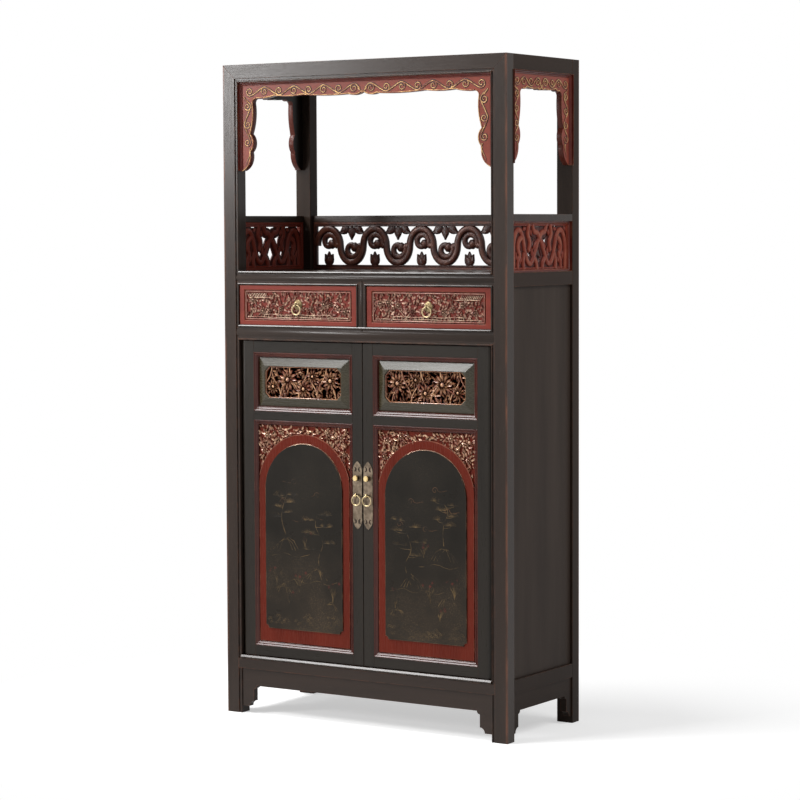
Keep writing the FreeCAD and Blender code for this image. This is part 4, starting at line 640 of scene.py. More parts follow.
def smooth_line(stops, steps=7):
    """Points of a smooth line through its stops."""
    path = []
    last = len(stops) - 1
    for leg in range(last):
        before, start, end, after = (Vector(stops[min(max(leg + at, 0), last)]) for at in (-1, 0, 1, 2))
        for step in range(steps):
            t = step / steps
            path.append(tuple(start + (end - before) * t / 2
                              + (before * 2 - start * 5 + end * 4 - after) * t ** 2 / 2
                              + (start * 3 - before - end * 3 + after) * t ** 3 / 2))
    return path + [stops[-1]]


def running_scroll(carving, span, clear, strand, depth):
    """A vine that swings from border to border, with a curl, a bud and a spray of leaves in every bay."""
    bays = round(span / (clear * 0.74))
    reach = span / bays / 2
    swing = clear / 2 - strand * 0.3
    vine = []
    for bay in range(bays):
        up = 1 if bay % 2 == 0 else -1
        middle = -span / 2 + reach * (2 * bay + 1)
        for step in range(15):
            angle = math.pi * step / 14
            vine.append((middle - reach * math.cos(angle), up * swing * math.sin(angle)))
        centre = (middle + reach * 0.05, up * swing * 0.22)
        winding = curl(centre, reach * 0.62, math.radians(-20 * up), 0.95, up, 0.42)
        branch = sweep((middle + reach * 0.94, 0.0), (middle + reach * 0.9, up * swing * 0.1),
                       (winding[0][0], winding[0][1] - up * swing * 0.1), winding[0], 4)
        carving.stem(branch + winding, strand * 0.9, depth, taper=0.85, sides=12, roundness=0.7)
        for face in (-1, 1):
            carving.boss(winding[-1], strand * 0.7, depth * face)
        for lean in (-1, 0, 1):
            heading = math.pi / 2 * up + lean * 0.8
            foot = (middle + lean * strand * 0.45, -up * clear * 0.53)
            for face in (-1, 1):
                carving.leaf(foot, heading, swing * 0.86, strand * 1.25, depth * 0.8 * face, -lean * up * 0.5)
    carving.stem(vine, strand, depth, taper=1.0, sides=12, roundness=0.7)


# Strands of one half of an end panel, as shares of its half width and half height from the middle
END_STRANDS = (
    ((0.95, -1.1), (0.95, 0.1), (0.86, 0.70), (0.72, 0.78), (0.61, 0.40), (0.54, -0.2), (0.45, -0.70),
     (0.33, -0.84), (0.22, -0.50), (0.10, 0.1), (0.0, 0.40)),
    ((0.66, 0.46), (0.76, 0.26), (0.80, -0.10), (0.73, -0.42), (0.79, -0.70), (0.80, -1.1)),
    ((0.40, 1.1), (0.43, 0.60), (0.36, 0.20), (0.40, -0.20)),
    ((0.0, 0.40), (0.08, 0.66), (0.20, 0.74), (0.26, 1.1)),
    ((0.10, -1.1), (0.12, -0.80), (0.20, -0.55)),
    ((0.58, -1.1), (0.60, -0.75), (0.56, -0.30)),
)
# Leaves of one half: shares of the half width and half height, lean in degrees, length
END_LEAVES = ((0.03, 0.34, -62, 0.050), (0.05, 0.36, -44, 0.042), (0.26, -0.55, 78, 0.034),
              (0.72, 0.10, -70, 0.030), (0.88, -0.20, -104, 0.030), (0.50, 0.92, -20, 0.020),
              (0.66, -0.50, -60, 0.022), (0.34, 0.86, -100, 0.020))


def hooked_strands(carving, span, clear, strand, depth):
    """Facing hooks, a knot of strands in the middle and leaves between, the same to the left and right."""
    for half in (-1, 1):
        for stops in END_STRANDS:
            path = smooth_line([(half * along * span / 2, across * clear / 2) for along, across in stops])
            # A wider, flatter dark strand under each strand: painted shade round it and in the gaps.
            carving.stem(path, strand * 1.9, depth * 0.35, taper=1.0, tint=1.0, roundness=0.4, gilt=False)
            carving.stem(path, strand, depth, taper=0.9, sides=12, roundness=0.6)
        for along, across, lean, length in END_LEAVES:
            heading = math.radians(lean if half > 0 else 180 - lean)
            for face in (-1, 1):
                carving.leaf((half * along * span / 2, across * clear / 2), heading, length, strand * 0.75,
                             face * depth * 0.5, 0.0, face * depth * 0.4)
        for face in (-1, 1):
            carving.boss((half * 0.39 * span / 2, -0.16 * clear / 2), strand * 0.5, depth * 0.95 * face)
    for face in (-1, 1):
        carving.boss((0.0, clear * 0.20), strand * 0.7, depth * 0.95 * face)


SCROLL_STRAND = 0.0165
REAR_STRAND = 0.0205
GALLERY_BORDER = 0.013
GALLERY_FILLET = [(0.0, -0.0006), (0.0, 0.0086), (0.0005, 0.0086), (0.0005, 0.0028), (0.0026, 0.0032),
                  (0.0040, 0.0020), (0.0044, -0.0006)]
GALLERY_FILLET_CREST = 0.0032
# The end panels' second colour only colours the dark strands under the hooks: painted shade.
end_gallery_red = gilded_carving(
    "end_gallery_red", paint(120, 50, 37), paint(66, 23, 17), gold=paint(166, 102, 74),
    hollow_painted_shade=paint(34, 11, 8), gold_from=0.8, gold_to=1.25, rough=0.36, gloss=0.12)
rear_gallery_brown = gilded_carving(
    "rear_gallery_brown", paint(50, 23, 18), paint(50, 23, 18), gold=paint(92, 52, 36),
    hollow_painted_shade=paint(20, 10, 8), gold_from=0.7, gold_to=1.2, rough=0.32, gloss=0.25)
rear_low, rear_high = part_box("rear_gallery_panel")
side_low, side_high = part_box("end_gallery_panels")
gallery_middle = (rear_low.z + rear_high.z) / 2
gallery_height = rear_high.z - rear_low.z
gallery_clear = gallery_height - 2 * GALLERY_BORDER
gallery_depth = (rear_high.y - rear_low.y) / 2
rear_length = rear_high.x - rear_low.x
rear_scrolls = Carving(
    lambda along, across, out: (along, rear_low.y + gallery_depth - out, gallery_middle + across))
moulded_border(rear_scrolls, rear_length, gallery_height, GALLERY_BORDER, gallery_depth)
running_scroll(rear_scrolls, rear_length - 2 * GALLERY_BORDER, gallery_clear, REAR_STRAND, gallery_depth)
rear_scrolls.make("rear_gallery_scrolls", rear_gallery_brown, "case", "red_lacquer", "rear_gallery_panel")
end_length = side_high.y - side_low.y
end_scrolls = Carving(None)
gallery_fillet = Carving(None)
for end in (-1, 1):
    end_scrolls.place = lambda along, across, out: (
        end * (side_high.x - gallery_depth + out), end * along, gallery_middle + across)
    moulded_border(end_scrolls, end_length, gallery_height, GALLERY_BORDER, gallery_depth)
    hooked_strands(end_scrolls, end_length - 2 * GALLERY_BORDER, gallery_clear, SCROLL_STRAND, gallery_depth)
    gallery_fillet.place = lambda along, across, out: (
        end * (side_high.x + out), end * along, gallery_middle + across)
    outline = box_corners(end_length / 2, gallery_height / 2)
    mitred_run(gallery_fillet, outline, GALLERY_FILLET, GALLERY_FILLET_CREST)
end_scrolls.make("end_gallery_scrolls", end_gallery_red, "case", "red_lacquer", "end_gallery_panels")
gallery_fillet.make("end_gallery_fillet", fillet_red, "case", "red_lacquer")


# Drawers: red lacquered fronts with a sunk field full of flowers, leaves and a tiled eave in high relief.
# The carving is part gilded; a gold fillet runs round the field. The boxes behind are plain wood.
def scatter_leaves(carving, chance, box, clear, spacing, length, width, height, centres, base=0.0, tint=0.0):
    """Leaves on a jittered grid over the box, wherever it is clear, turning round the nearest flower."""
    low_along, low_across, high_along, high_across = box
    rows = int((high_across - low_across) / spacing)
    columns = int((high_along - low_along) / spacing)
    for row in range(rows + 1):
        for column in range(columns + 1):
            along = low_along + spacing * (column + chance.uniform(-0.4, 0.4) + 0.5 * (row % 2))
            across = low_across + spacing * (row + chance.uniform(-0.4, 0.4))
            if not clear(along, across):
                continue
            centre = min(centres, key=lambda spot: math.hypot(along - spot[0], across - spot[1]))
            outward = math.atan2(across - centre[1], along - centre[0])
            heading = outward + chance.uniform(-1.0, 1.0)
            size = chance.uniform(0.7, 1.25)
            rise = height * chance.uniform(0.4, 1.0)
            bend = chance.uniform(-1.3, 1.3)
            shade = tint if chance.random() < 0.7 else 1.0 - tint
            carving.leaf((along, across), heading, length * size, width * size, rise, bend, base, tint=shade)


drawer_red = red_boards("drawer_red", ALONG_X, paint(102, 37, 28), paint(132, 53, 41))
drawer_gilding = gilded_carving(
    "drawer_gilding", paint(150, 84, 72), paint(136, 66, 58), gold=paint(228, 194, 164),
    hollow_painted_shade=paint(40, 15, 12), gold_from=0.5, gold_to=0.95, rough=0.27)
DRAWER_EASED = 0.0016
DRAWER_BORDER = 0.016
DRAWER_BORDER_HEIGHT = 0.013
FIELD_DEPTH = 0.005
FIELD_FILLET = [(0.0030, 0.0), (0.0032, 0.0044), (0.0042, 0.0050), (0.0052, 0.0044), (0.0056, 0.0)]
FIELD_FILLET_CREST = 0.0074
FIELD_EDGE = 0.0072
LEAF_EDGE = 0.009
PULL_RISE = 0.002
PULL_ROOM = 0.0165
BLOOM_PITCH = 0.050
BLOOM_PLACES = (-3.0, -2.4, -1.75, -1.1, 0.95, 1.6, 2.25, 2.95)
BLOOM_RISE = 0.0048
BLOOM_FOOT = 0.0004
EAVE_HEIGHT = 0.0205
RAILING_FOOT = 0.0018
RAILING_HEIGHT = 0.0070
for side, sign, seed in (("left", -1, 5), ("right", 1, 11)):
    front = side + "_drawer_front"
    finish_node(front, drawer_red, DRAWER_EASED)
    low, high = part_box(front)
    middle = ((low.x + high.x) / 2, (low.z + high.z) / 2)
    half_width = (high.x - low.x) / 2 - DRAWER_BORDER
    half_height = (high.z - low.z) / 2 - DRAWER_BORDER_HEIGHT
    field = low.y + FIELD_DEPTH
    chance = random.Random(seed)
    relief = Carving(lambda along, across, out: (middle[0] + along, field - out, middle[1] + across))
    mitred_run(relief, box_corners(half_width, half_height), FIELD_FILLET, FIELD_FILLET_CREST)
    flowers = []
    for along in BLOOM_PLACES:
        spot = along * BLOOM_PITCH + chance.uniform(-0.008, 0.008)
        lift = chance.choice((-1, 1)) * chance.uniform(0.002, 0.018)
        flowers.append((spot, lift, chance.uniform(0.0085, 0.0125)))
    for along, across, radius in flowers:
        shade = chance.choice((0.2, 1.0))
        relief.flower((along, across), radius, 7, BLOOM_RISE, BLOOM_FOOT, shade, chance.uniform(0, 1))
    for along, across, radius in flowers:
        root = (along + chance.uniform(-0.03, 0.03), -half_height + FIELD_EDGE)
        bow = (along + chance.uniform(-0.02, 0.02), across * 0.2)
        relief.stem(sweep(root, bow, bow, (along, across), 10), width=0.0026, height=0.0034)
    eave_low = half_height - EAVE_HEIGHT

    def open_field(along, across):
        off_edge = abs(along) < half_width - LEAF_EDGE and abs(across) < half_height - LEAF_EDGE
        off_pull = math.hypot(along, across - PULL_RISE) > PULL_ROOM
        off_eave = along * sign <= half_width * 0.52 or across <= eave_low
        return off_edge and off_pull and off_eave

    reach = half_width - FIELD_EDGE
    rise = half_height - FIELD_EDGE
    box = (-reach, -rise, reach, rise)
    scatter_leaves(relief, chance, box, open_field, spacing=0.0076, length=0.0126, width=0.0058,
                   height=0.0048, centres=flowers)
    for rib in range(12):
        start = (sign * (half_width * 0.56 + rib * 0.0056), eave_low + 0.002)
        end = (start[0] + sign * 0.0065, start[1] + 0.0100)
        relief.stem([start, end], width=0.0026, height=0.0046, taper=0.9)
    eave = sweep((sign * half_width * 0.46, eave_low - 0.0015), (sign * half_width * 0.58, eave_low + 0.001),
                 (sign * half_width * 0.8, eave_low + 0.001),
                 (sign * (half_width - FIELD_EDGE), eave_low - 0.0015), 10)
    relief.stem(eave, width=0.0032, height=0.0050, taper=1.0)
    railing_foot = -half_height + FIELD_EDGE + RAILING_FOOT
    for terrace, reach in ((0.0, 0.94), (RAILING_HEIGHT, 0.62)):
        drop = railing_foot + terrace
        ledge = []
        for step in range(13):
            along = -half_width * reach + half_width * 2 * reach * step / 12
            ledge.append((along, drop + 0.0012 * math.sin(step * 1.3)))
        relief.stem(ledge, width=0.0026, height=0.0046, taper=1.0)
    for baluster in range(17):
        along = half_width * 0.62 * (baluster / 8 - 1)
        head = (along, railing_foot + RAILING_HEIGHT)
        relief.stem([(along, railing_foot), head], width=0.0022, height=0.0040, taper=1.0)
    relief.make(side + "_drawer_carving", drawer_gilding, side + "_drawer", "gilt_carving")

# Door frames: stiles and rails tenoned together, black-green lacquer with a deeper gloss than the case.
# Each door turns on wooden pivots at its outer stile.
DOOR_COAT = (paint(31, 27, 23), paint(42, 37, 32), paint(112, 74, 56))
DOOR_FINISH = {"rough": 0.30, "wear": 0.5, "gloss": 0.17, "rubbed": 0.002}
door_upright = lacquer("door_lacquer_upright", ALONG_Z, *DOOR_COAT, **DOOR_FINISH)
door_level = lacquer("door_lacquer_level", ALONG_X, *DOOR_COAT, **DOOR_FINISH)
for side in ("left", "right"):
    finish_node(side + "_door_hinge_stile", door_upright)
    finish_node(side + "_door_meeting_stile", door_upright)
    finish_node(side + "_door_rails", door_level)

# Rail beads: a planed bead along the upper edge of three front rails, and one round each drawer opening.
# They are glossier than the rails; dusting and polishing have kept their upper flats bright.
bead_lacquer = lacquer("bead_lacquer", ALONG_X, *CASE_COAT, rough=0.20, wear=0.6, gloss=0.34, rubbed=0.0012)
BEAD_LAP = 0.0003
BEAD_ROOT = -0.002
BEAD_FLAT = 1.25
BEAD_WIDTH = BEAD_FLAT + 0.8


def planed_flat(piece):
    """Keeps the flats of a planed moulding flat instead of blending them into one round."""
    piece.data.polygons.foreach_set("use_smooth", [False] * len(piece.data.polygons))


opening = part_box("front_right_post")[0].x
rail_beads = Carving(None)
for rail, flat in (("bottom_front_rail", 0.0046), ("drawer_rail", 0.0026), ("shelf_front_rail", 0.0026)):
    low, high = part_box(rail)
    rail_beads.place = lambda along, across, out: (along, low.y - out, high.z + across)
    crest = BEAD_LAP + flat * 0.9
    profile = [(0.0, BEAD_ROOT), (0.0, BEAD_LAP), (-flat, crest), (-flat * BEAD_FLAT, crest),
               (-flat * BEAD_WIDTH, BEAD_LAP), (-flat * BEAD_WIDTH, BEAD_ROOT)]
    mitred_run(rail_beads, [(-opening, 0.0), (opening, 0.0)], profile, crest, closed=False)
planed_flat(rail_beads.make("front_rail_beads", bead_lacquer, "case", "dark_lacquer"))
OPENING_BEAD_WIDTH = 0.0034
OPENING_BEAD_CREST = 0.0015
OPENING_BEAD = [(0.0, -0.004), (0.0, BEAD_LAP), (0.0013, OPENING_BEAD_CREST), (0.0021, OPENING_BEAD_CREST),
                (OPENING_BEAD_WIDTH, BEAD_LAP), (OPENING_BEAD_WIDTH, -0.004)]
divider_low, divider_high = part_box("drawer_divider")
opening_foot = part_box("drawer_rail")[1].z
opening_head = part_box("shelf_front_rail")[0].z
opening_middle = (opening_head + opening_foot) / 2
opening_beads = Carving(None)
for half in (-1, 1):
    opening_beads.place = lambda along, across, out: (
        half * (opening + divider_high.x) / 2 + along, divider_low.y - out, opening_middle + across)
    outline = box_corners((opening - divider_high.x) / 2 + OPENING_BEAD_WIDTH,
                          (opening_head - opening_foot) / 2 + OPENING_BEAD_WIDTH)
    mitred_run(opening_beads, outline, OPENING_BEAD, OPENING_BEAD_CREST)
planed_flat(opening_beads.make("drawer_opening_beads", bead_lacquer, "case", "dark_lacquer"))

# Mouldings: mitred double beads round both openings of each door, glossy red-brown lacquer.
# They are run with a scratch stock and rubbed bright on the crest of each bead.
moulding_red = lacquer(
    "moulding_red", ALONG_Z, paint(52, 20, 14), paint(76, 30, 22), paint(140, 82, 58),
    rough=0.20, wear=0.6, gloss=0.30, rubbed=0.0015)
MOULDING_BEADS = [(0.0002, -0.0040), (0.0002, 0.0010), (0.0010, 0.0020), (0.0020, 0.0020), (0.0052, -0.0009),
                  (0.0058, -0.0009), (0.0066, 0.0002), (0.0074, 0.0002), (0.0110, -0.0031), (0.0110, -0.0050)]
MOULDING_CREST = 0.0022
for side in ("left", "right"):
    finish_node(side + "_door_mouldings", moulding_red)
    low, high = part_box(side + "_door_mouldings")
    window_low, window_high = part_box(side + "_door_bevel_frame")
    arch_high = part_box(side + "_door_arch_board")[1]
    width = high.z - window_high.z
    beads = Carving(None)
    for foot, head in ((window_low.z - width, high.z), (low.z, arch_high.z + width)):
        beads.place = lambda along, across, out: (
            (low.x + high.x) / 2 + along, low.y - out, (foot + head) / 2 + across)
        outline = box_corners((high.x - low.x) / 2, (head - foot) / 2)
        mitred_run(beads, outline, MOULDING_BEADS, MOULDING_CREST)
    planed_flat(beads.make(side + "_door_moulding_beads", moulding_red, side + "_door", "red_lacquer"))

# Window frames: four bevelled boards rising to a chamfered opening, very dark green gloss lacquer.
# The lacquer has crazed along the grain and lost its edge at the mitres.
bevel_green = lacquer(
    "bevel_green", ALONG_X, paint(42, 38, 24), paint(62, 55, 37), paint(126, 82, 56),
    rough=0.27, wear=0.5, gloss=0.42, rubbed=0.0015)
BEVEL_EASED = 0.0007
for side in ("left", "right"):
    finish_node(side + "_door_bevel_frame", bevel_green, BEVEL_EASED)

# Window carving: flowers and long leaves pierced right through a ten millimetre board, gilded over red.
# A narrow rounded rim holds them and is let into the window frame.
lattice_gilding = gilded_carving(
    "lattice_gilding", paint(122, 62, 38), paint(128, 58, 40), gold=paint(226, 176, 128),
    hollow_painted_shade=paint(24, 10, 7), gold_from=0.5, gold_to=1.0, rough=0.20, gloss=0.7)
WINDOW_CHAMFER = 0.014
WINDOW_RIM = [(0.0, -0.003), (0.0, 0.0054), (0.0014, 0.0062), (0.0027, 0.0054), (0.0032, 0.003),
              (0.0032, -0.003)]
WINDOW_RIM_CREST = 0.0085
WINDOW_BLOOMS = ((-0.088, 0.008, 0.027), (-0.030, 0.018, 0.019), (0.000, -0.016, 0.024),
                 (0.052, 0.008, 0.029), (0.100, -0.012, 0.020))
WINDOW_EDGE = 0.008
WINDOW_CORNER = 0.026
LATTICE_BACK_FOOT = 0.0030
for side, sign, seed in (("left", -1, 21), ("right", 1, 34)):
    low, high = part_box(side + "_door_lattice")
    half_width = (high.x - low.x) / 2
    half_height = (high.z - low.z) / 2
    middle = ((low.x + high.x) / 2, (low.z + high.z) / 2)
    foot = high.y - LATTICE_BACK_FOOT
    chance = random.Random(seed)
    flowers_in = Carving(
        lambda along, across, out: (middle[0] + sign * along, foot - out, middle[1] + across))
    corner_along = half_width - WINDOW_CHAMFER
    corner_across = half_height - WINDOW_CHAMFER
    octagon = [(-corner_along, -half_height), (corner_along, -half_height), (half_width, -corner_across),
               (half_width, corner_across), (corner_along, half_height), (-corner_along, half_height),
               (-half_width, corner_across), (-half_width, -corner_across)]
    mitred_run(flowers_in, octagon, WINDOW_RIM, WINDOW_RIM_CREST)
    for along, across, radius in WINDOW_BLOOMS:
        shade = chance.choice((0.3, 1.0))
        flowers_in.flower((along, across), radius, 11, 0.0048, 0.0012, shade, chance.uniform(0, 1), slim=0.72)
    for stalk in range(8):
        along = -0.105 + stalk * 0.030
        up = 1 if stalk % 2 == 0 else -1
        path = sweep((along, -up * half_height), (along + 0.002, 0.0), (along + 0.034, -up * 0.004),
                     (along + 0.030, up * half_height), 14)
        flowers_in.stem(path, width=0.0046, height=0.0032, base=0.0008, taper=0.8)

    def off_chamfers(along, across):
        return abs(along) + abs(across) < half_width + half_height - WINDOW_CORNER

    reach = half_width - WINDOW_EDGE
    rise = half_height - WINDOW_EDGE
    box = (-reach, -rise, reach, rise)
    scatter_leaves(flowers_in, chance, box, off_chamfers, spacing=0.0098, length=0.0180, width=0.0050,
                   height=0.0046, centres=WINDOW_BLOOMS, base=0.0004)
    flowers_in.make(
        side + "_window_carving", lattice_gilding, side + "_door", "gilt_carving", side + "_door_lattice")

# Arch boards: a ground board with a raised band in red gloss lacquer, set behind the lower moulding.
# The corners over the arch are filled with carved flowers and leaves, gilded over red;
# an ungilded cord follows the outside of the band and a gold line its inner edge.
# The cord takes the body colour; its dark look is painted shade in the hollow beside the band.
band_red = lacquer(
    "band_red", ALONG_Z, paint(84, 28, 17), paint(104, 37, 24), paint(184, 132, 104),
    rough=0.27, wear=0.8, gloss=0.10, rubbed=0.002)
spandrel_gilding = gilded_carving(
    "spandrel_gilding", paint(156, 80, 54), paint(150, 70, 48), gold=paint(240, 202, 164),
    hollow_painted_shade=paint(66, 25, 17), gold_from=0.42, gold_to=0.9, rough=0.16, gloss=0.9)
ARCH_EASED = 0.0012
ARCH_HEAD_CLEAR = 0.023
BAND_CROWN = 0.024
BAND_SIDE = 0.022
GROUND_BACK = 0.011
SPANDREL_BLOOMS = ((-0.122, 0.148, 0.0125), (0.122, 0.148, 0.0125), (-0.132, 0.105, 0.010),
                   (0.132, 0.105, 0.010), (-0.078, 0.160, 0.012), (0.078, 0.160, 0.012))
SPANDREL_EDGE = 0.003
SPANDREL_LEAF_EDGE = 0.0045
SPANDREL_FOOT = 0.03
BAND_LEAF_GAP = 0.0055
CORD_GAP = 0.0012
for side, sign, seed in (("left", -1, 41), ("right", 1, 58)):
    finish_node(side + "_door_arch_board", band_red, ARCH_EASED)
    low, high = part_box(side + "_door_arch_board")
    middle = (low.x + high.x) / 2
    half_field = (high.x - low.x) / 2
    arch_half = half_field - BAND_SIDE
    band_radius = arch_half + BAND_CROWN
    spring = high.z - ARCH_HEAD_CLEAR - band_radius
    ground = high.y - GROUND_BACK
    chance = random.Random(seed)
    spray = Carving(lambda along, across, out: (middle + sign * along, ground - out, spring + across))
    top = high.z - spring
    for along, across, radius in SPANDREL_BLOOMS:
        spray.flower((along, across), radius, 7, BLOOM_RISE, BLOOM_FOOT, 1.0, chance.uniform(0, 1))

    def over_band(along, across):
        off_edge = abs(along) < half_field - SPANDREL_LEAF_EDGE and across < top - SPANDREL_LEAF_EDGE
        return off_edge and math.hypot(along, across) > band_radius + BAND_LEAF_GAP

    reach = half_field - SPANDREL_EDGE
    box = (-reach, SPANDREL_FOOT, reach, top - SPANDREL_EDGE)
    scatter_leaves(spray, chance, box, over_band, spacing=0.0074, length=0.0160, width=0.0060, height=0.0058,
                   centres=SPANDREL_BLOOMS, tint=0.2)
    cord_radius = band_radius + CORD_GAP
    edge_angle = math.acos((half_field - 0.001) / cord_radius)
    turns = [edge_angle + (math.pi - 2 * edge_angle) * step / 60 for step in range(61)]
    cord = [around((0.0, 0.0), cord_radius, turn) for turn in turns]
    spray.stem(cord, width=0.0022, height=0.0056, taper=1.0, gilt=False)
    inner_edge = [around((0.0, 0.0), arch_half, math.pi * step / 48) for step in range(49)]
    spray.place = lambda along, across, out: (middle + sign * along, low.y + 0.0006 - out, spring + across)
    gold_line = [point for point in inner_edge if point[1] > SPANDREL_FOOT]
    spray.stem(gold_line, width=0.0028, height=0.0008, taper=1.0)
    spray.make(side + "_spandrel_carving", spandrel_gilding, side + "_door", "gilt_carving")

# Painted panels: raised arched boards in black lacquer, once covered with gold and red line painting.
# Little of it is left: faint pines, rocks, grasses, clouds and waves, and gold dust towards the foot.
painted_black, tree, shader = new_material("painted_black")
brushed = add_node(tree, "ShaderNodeGroup", {"Stretch": (30.0, 30.0, 12.0)}, node_tree=brushed_lacquer)
PAINT_GLOSS = 0.12
shader.inputs["Specular IOR Level"].default_value = PAINT_GLOSS
colour = mix_colours(tree, brushed.outputs["Mottle"], paint(27, 24, 20), paint(35, 31, 26))
where = piece_place(tree)
flecks = mottling(tree, where, 420.0, 4.0)
drifts = mottling(tree, where, 9.0, 5.0)
level = add_node(tree, "ShaderNodeSeparateXYZ", {0: where}).outputs[2]
foot_share = remap(tree, level, 0.52, 0.24)
drifted = remap(tree, drifts, 0.40, 0.62)
browned = math_node(tree, "MULTIPLY", foot_share, remap(tree, drifts, 0.3, 0.7, 0.35, 1.0))
colour = mix_colours(tree, browned, colour, paint(54, 46, 38))
dusted = remap(tree, foot_share, 0.0, 1.0, 0.10, 0.5)
fleck = math_node(tree, "MULTIPLY", remap(tree, flecks, 0.54, 0.68), dusted)
colour = mix_colours(tree, math_node(tree, "MULTIPLY", fleck, drifted), colour, paint(134, 108, 74))
edges = add_node(tree, "ShaderNodeGroup", {"Amount": 0.9, "Radius": 0.0025}, node_tree=rubbed_edges)
colour = mix_colours(tree, edges.outputs["Mask"], colour, paint(150, 110, 82))
tree.links.new(colour, shader.inputs["Base Color"])
tree.links.new(remap(tree, drifts, 0.3, 0.7, 0.26, 0.42), shader.inputs["Roughness"])
bump(tree, shader, flecks, 0.10, 0.0004)

faded_lines, tree, shader = new_material("faded_lines")
shader.inputs["Specular IOR Level"].default_value = PAINT_GLOSS
tint = add_node(tree, "ShaderNodeAttribute", attribute_name="tint").outputs["Fac"]
patches = mottling(tree, piece_place(tree), 48.0, 6.0)
colour = mix_colours(tree, tint, paint(104, 84, 56), paint(96, 44, 36))
colour = mix_colours(tree, remap(tree, patches, 0.42, 0.64), paint(36, 32, 27), colour)
tree.links.new(colour, shader.inputs["Base Color"])
tree.links.new(remap(tree, patches, 0.3, 0.7, 0.30, 0.50), shader.inputs["Roughness"])
LINE_WIDTH = 0.0015
LINE_RISE = 0.0003


def brush_line(carving, path, tint=0.0, width=LINE_WIDTH):
    carving.stem(path, width, LINE_RISE, taper=0.6, tint=tint, sides=5)


def needle_fan(carving, foot, radius, needles):
    for needle in range(needles):
        angle = math.pi * (needle + 0.5) / needles
        tip = (foot[0] + radius * math.cos(angle), foot[1] + radius * 0.8 * math.sin(angle))
        brush_line(carving, [foot, tip], width=LINE_WIDTH * 0.8)


def pine(carving, chance, foot, height):
    trunk = smooth_line([(foot[0] + chance.uniform(-0.012, 0.012), foot[1] + height * share)
                         for share in (0.0, 0.3, 0.55, 0.8, 1.0)], 4)
    brush_line(carving, trunk, width=LINE_WIDTH * 1.8)
    for bough in range(6):
        start = trunk[6 + 2 * bough]
        side = 1 if bough % 2 == 0 else -1
        reach = side * height * chance.uniform(0.16, 0.30)
        end = (start[0] + reach, start[1] + height * chance.uniform(-0.02, 0.08))
        brush_line(carving, sweep(start, (end[0], start[1]), end, end, 5) + [end])
        needle_fan(carving, end, chance.uniform(0.012, 0.018), 9)
        needle_fan(carving, ((start[0] + end[0]) / 2, end[1]), 0.011, 7)


def rock(carving, chance, foot, width):
    outline = ((-1.0, 0.05), (-0.6, 0.35), (-0.2, 0.55), (0.3, 0.45), (0.7, 0.3), (1.0, 0.05))
    for layer in range(3):
        reach = width * (1 - 0.25 * layer) / 2
        stops = [(foot[0] + reach * share, foot[1] + width * lift * chance.uniform(0.6, 1.0))
                 for share, lift in outline]
        brush_line(carving, stops, width=LINE_WIDTH * 1.2)


def grasses(carving, chance, foot, height):
    for blade in range(9):
        lean = chance.uniform(-0.5, 0.5)
        tip = (foot[0] + height * lean, foot[1] + height * chance.uniform(0.6, 1.0))
        path = sweep(foot, (foot[0], foot[1] + height * 0.4), tip, tip, 5)
        carving.stem(path, LINE_WIDTH, LINE_RISE, sides=5)
    for bloom in range(3):
        centre = (foot[0] + height * chance.uniform(-0.5, 0.5), foot[1] + height * chance.uniform(0.7, 1.1))
        for petal in range(6):
            tip = around(centre, 0.0055, math.pi * petal / 3)
            brush_line(carving, [centre, tip], 1.0, LINE_WIDTH * 1.3)


# Places on the panel from the middle of its foot, each with a height, width or reach
PINES = ((-0.052, 0.150, 0.170), (0.060, 0.260, 0.110))
ROCKS = ((-0.040, 0.140, 0.075), (0.058, 0.215, 0.085), (0.070, 0.098, 0.060), (-0.085, 0.060, 0.055))
GRASSES = ((0.015, 0.105, 0.060), (0.090, 0.120, 0.050), (-0.095, 0.085, 0.048), (-0.005, 0.225, 0.040),
           (0.045, 0.060, 0.040))
CLOUDS = ((-0.045, 0.372), (0.030, 0.405), (0.068, 0.350), (-0.080, 0.310), (0.000, 0.300))
BANKS = ((-0.110, 0.135, 0.085), (-0.020, 0.205, 0.110))
CLOUD_RADIUS = 0.009
CLOUD_TINT = 0.4
PANEL_CLEAR = 0.118
PANEL_EASED = 0.0010
LINE_SUNK = 0.0001
WAVE_RADIUS = 0.0085
for side, sign, seed in (("left", -1, 71), ("right", 1, 86)):
    finish_node(side + "_door_arch_panel", painted_black, PANEL_EASED)
    low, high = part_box(side + "_door_arch_panel")
    middle = (low.x + high.x) / 2
    chance = random.Random(seed)
    lines = Carving(
        lambda along, across, out: (middle + sign * along, low.y - out + LINE_SUNK, low.z + across))
    for draw, places in ((pine, PINES), (rock, ROCKS), (grasses, GRASSES)):
        for along, across, size in places:
            draw(lines, chance, (along, across), size)
    for along, across in CLOUDS:
        brush_line(lines, curl((along, across), CLOUD_RADIUS, 0.0, 1.2, 1), CLOUD_TINT)
        trail = sweep((along + CLOUD_RADIUS, across), (along + 0.02, across - 0.009),
                      (along + 0.03, across + 0.004), (along + 0.045, across), 7)
        brush_line(lines, trail, CLOUD_TINT)
    for along, across, reach in BANKS:
        ledge = [(along + reach * 2 * step / 14, across + 0.005 * math.sin(step * 1.1 + seed))
                 for step in range(15)]
        brush_line(lines, [point for point in ledge if abs(point[0]) < PANEL_CLEAR])
    for row in range(4):
        for column in range(13):
            centre = (-0.108 + column * 0.018 + 0.009 * (row % 2) - 0.0045, 0.014 + row * WAVE_RADIUS)
            if chance.random() < 0.28 + 0.14 * row:
                continue
            for share in (1.0, 0.55):
                arc = [around(centre, WAVE_RADIUS * share, math.pi * step / 8) for step in range(9)]
                brush_line(lines, arc, width=LINE_WIDTH * 0.8)
    lines.make(side + "_panel_lines", faded_lines, side + "_door", "painted_lacquer")

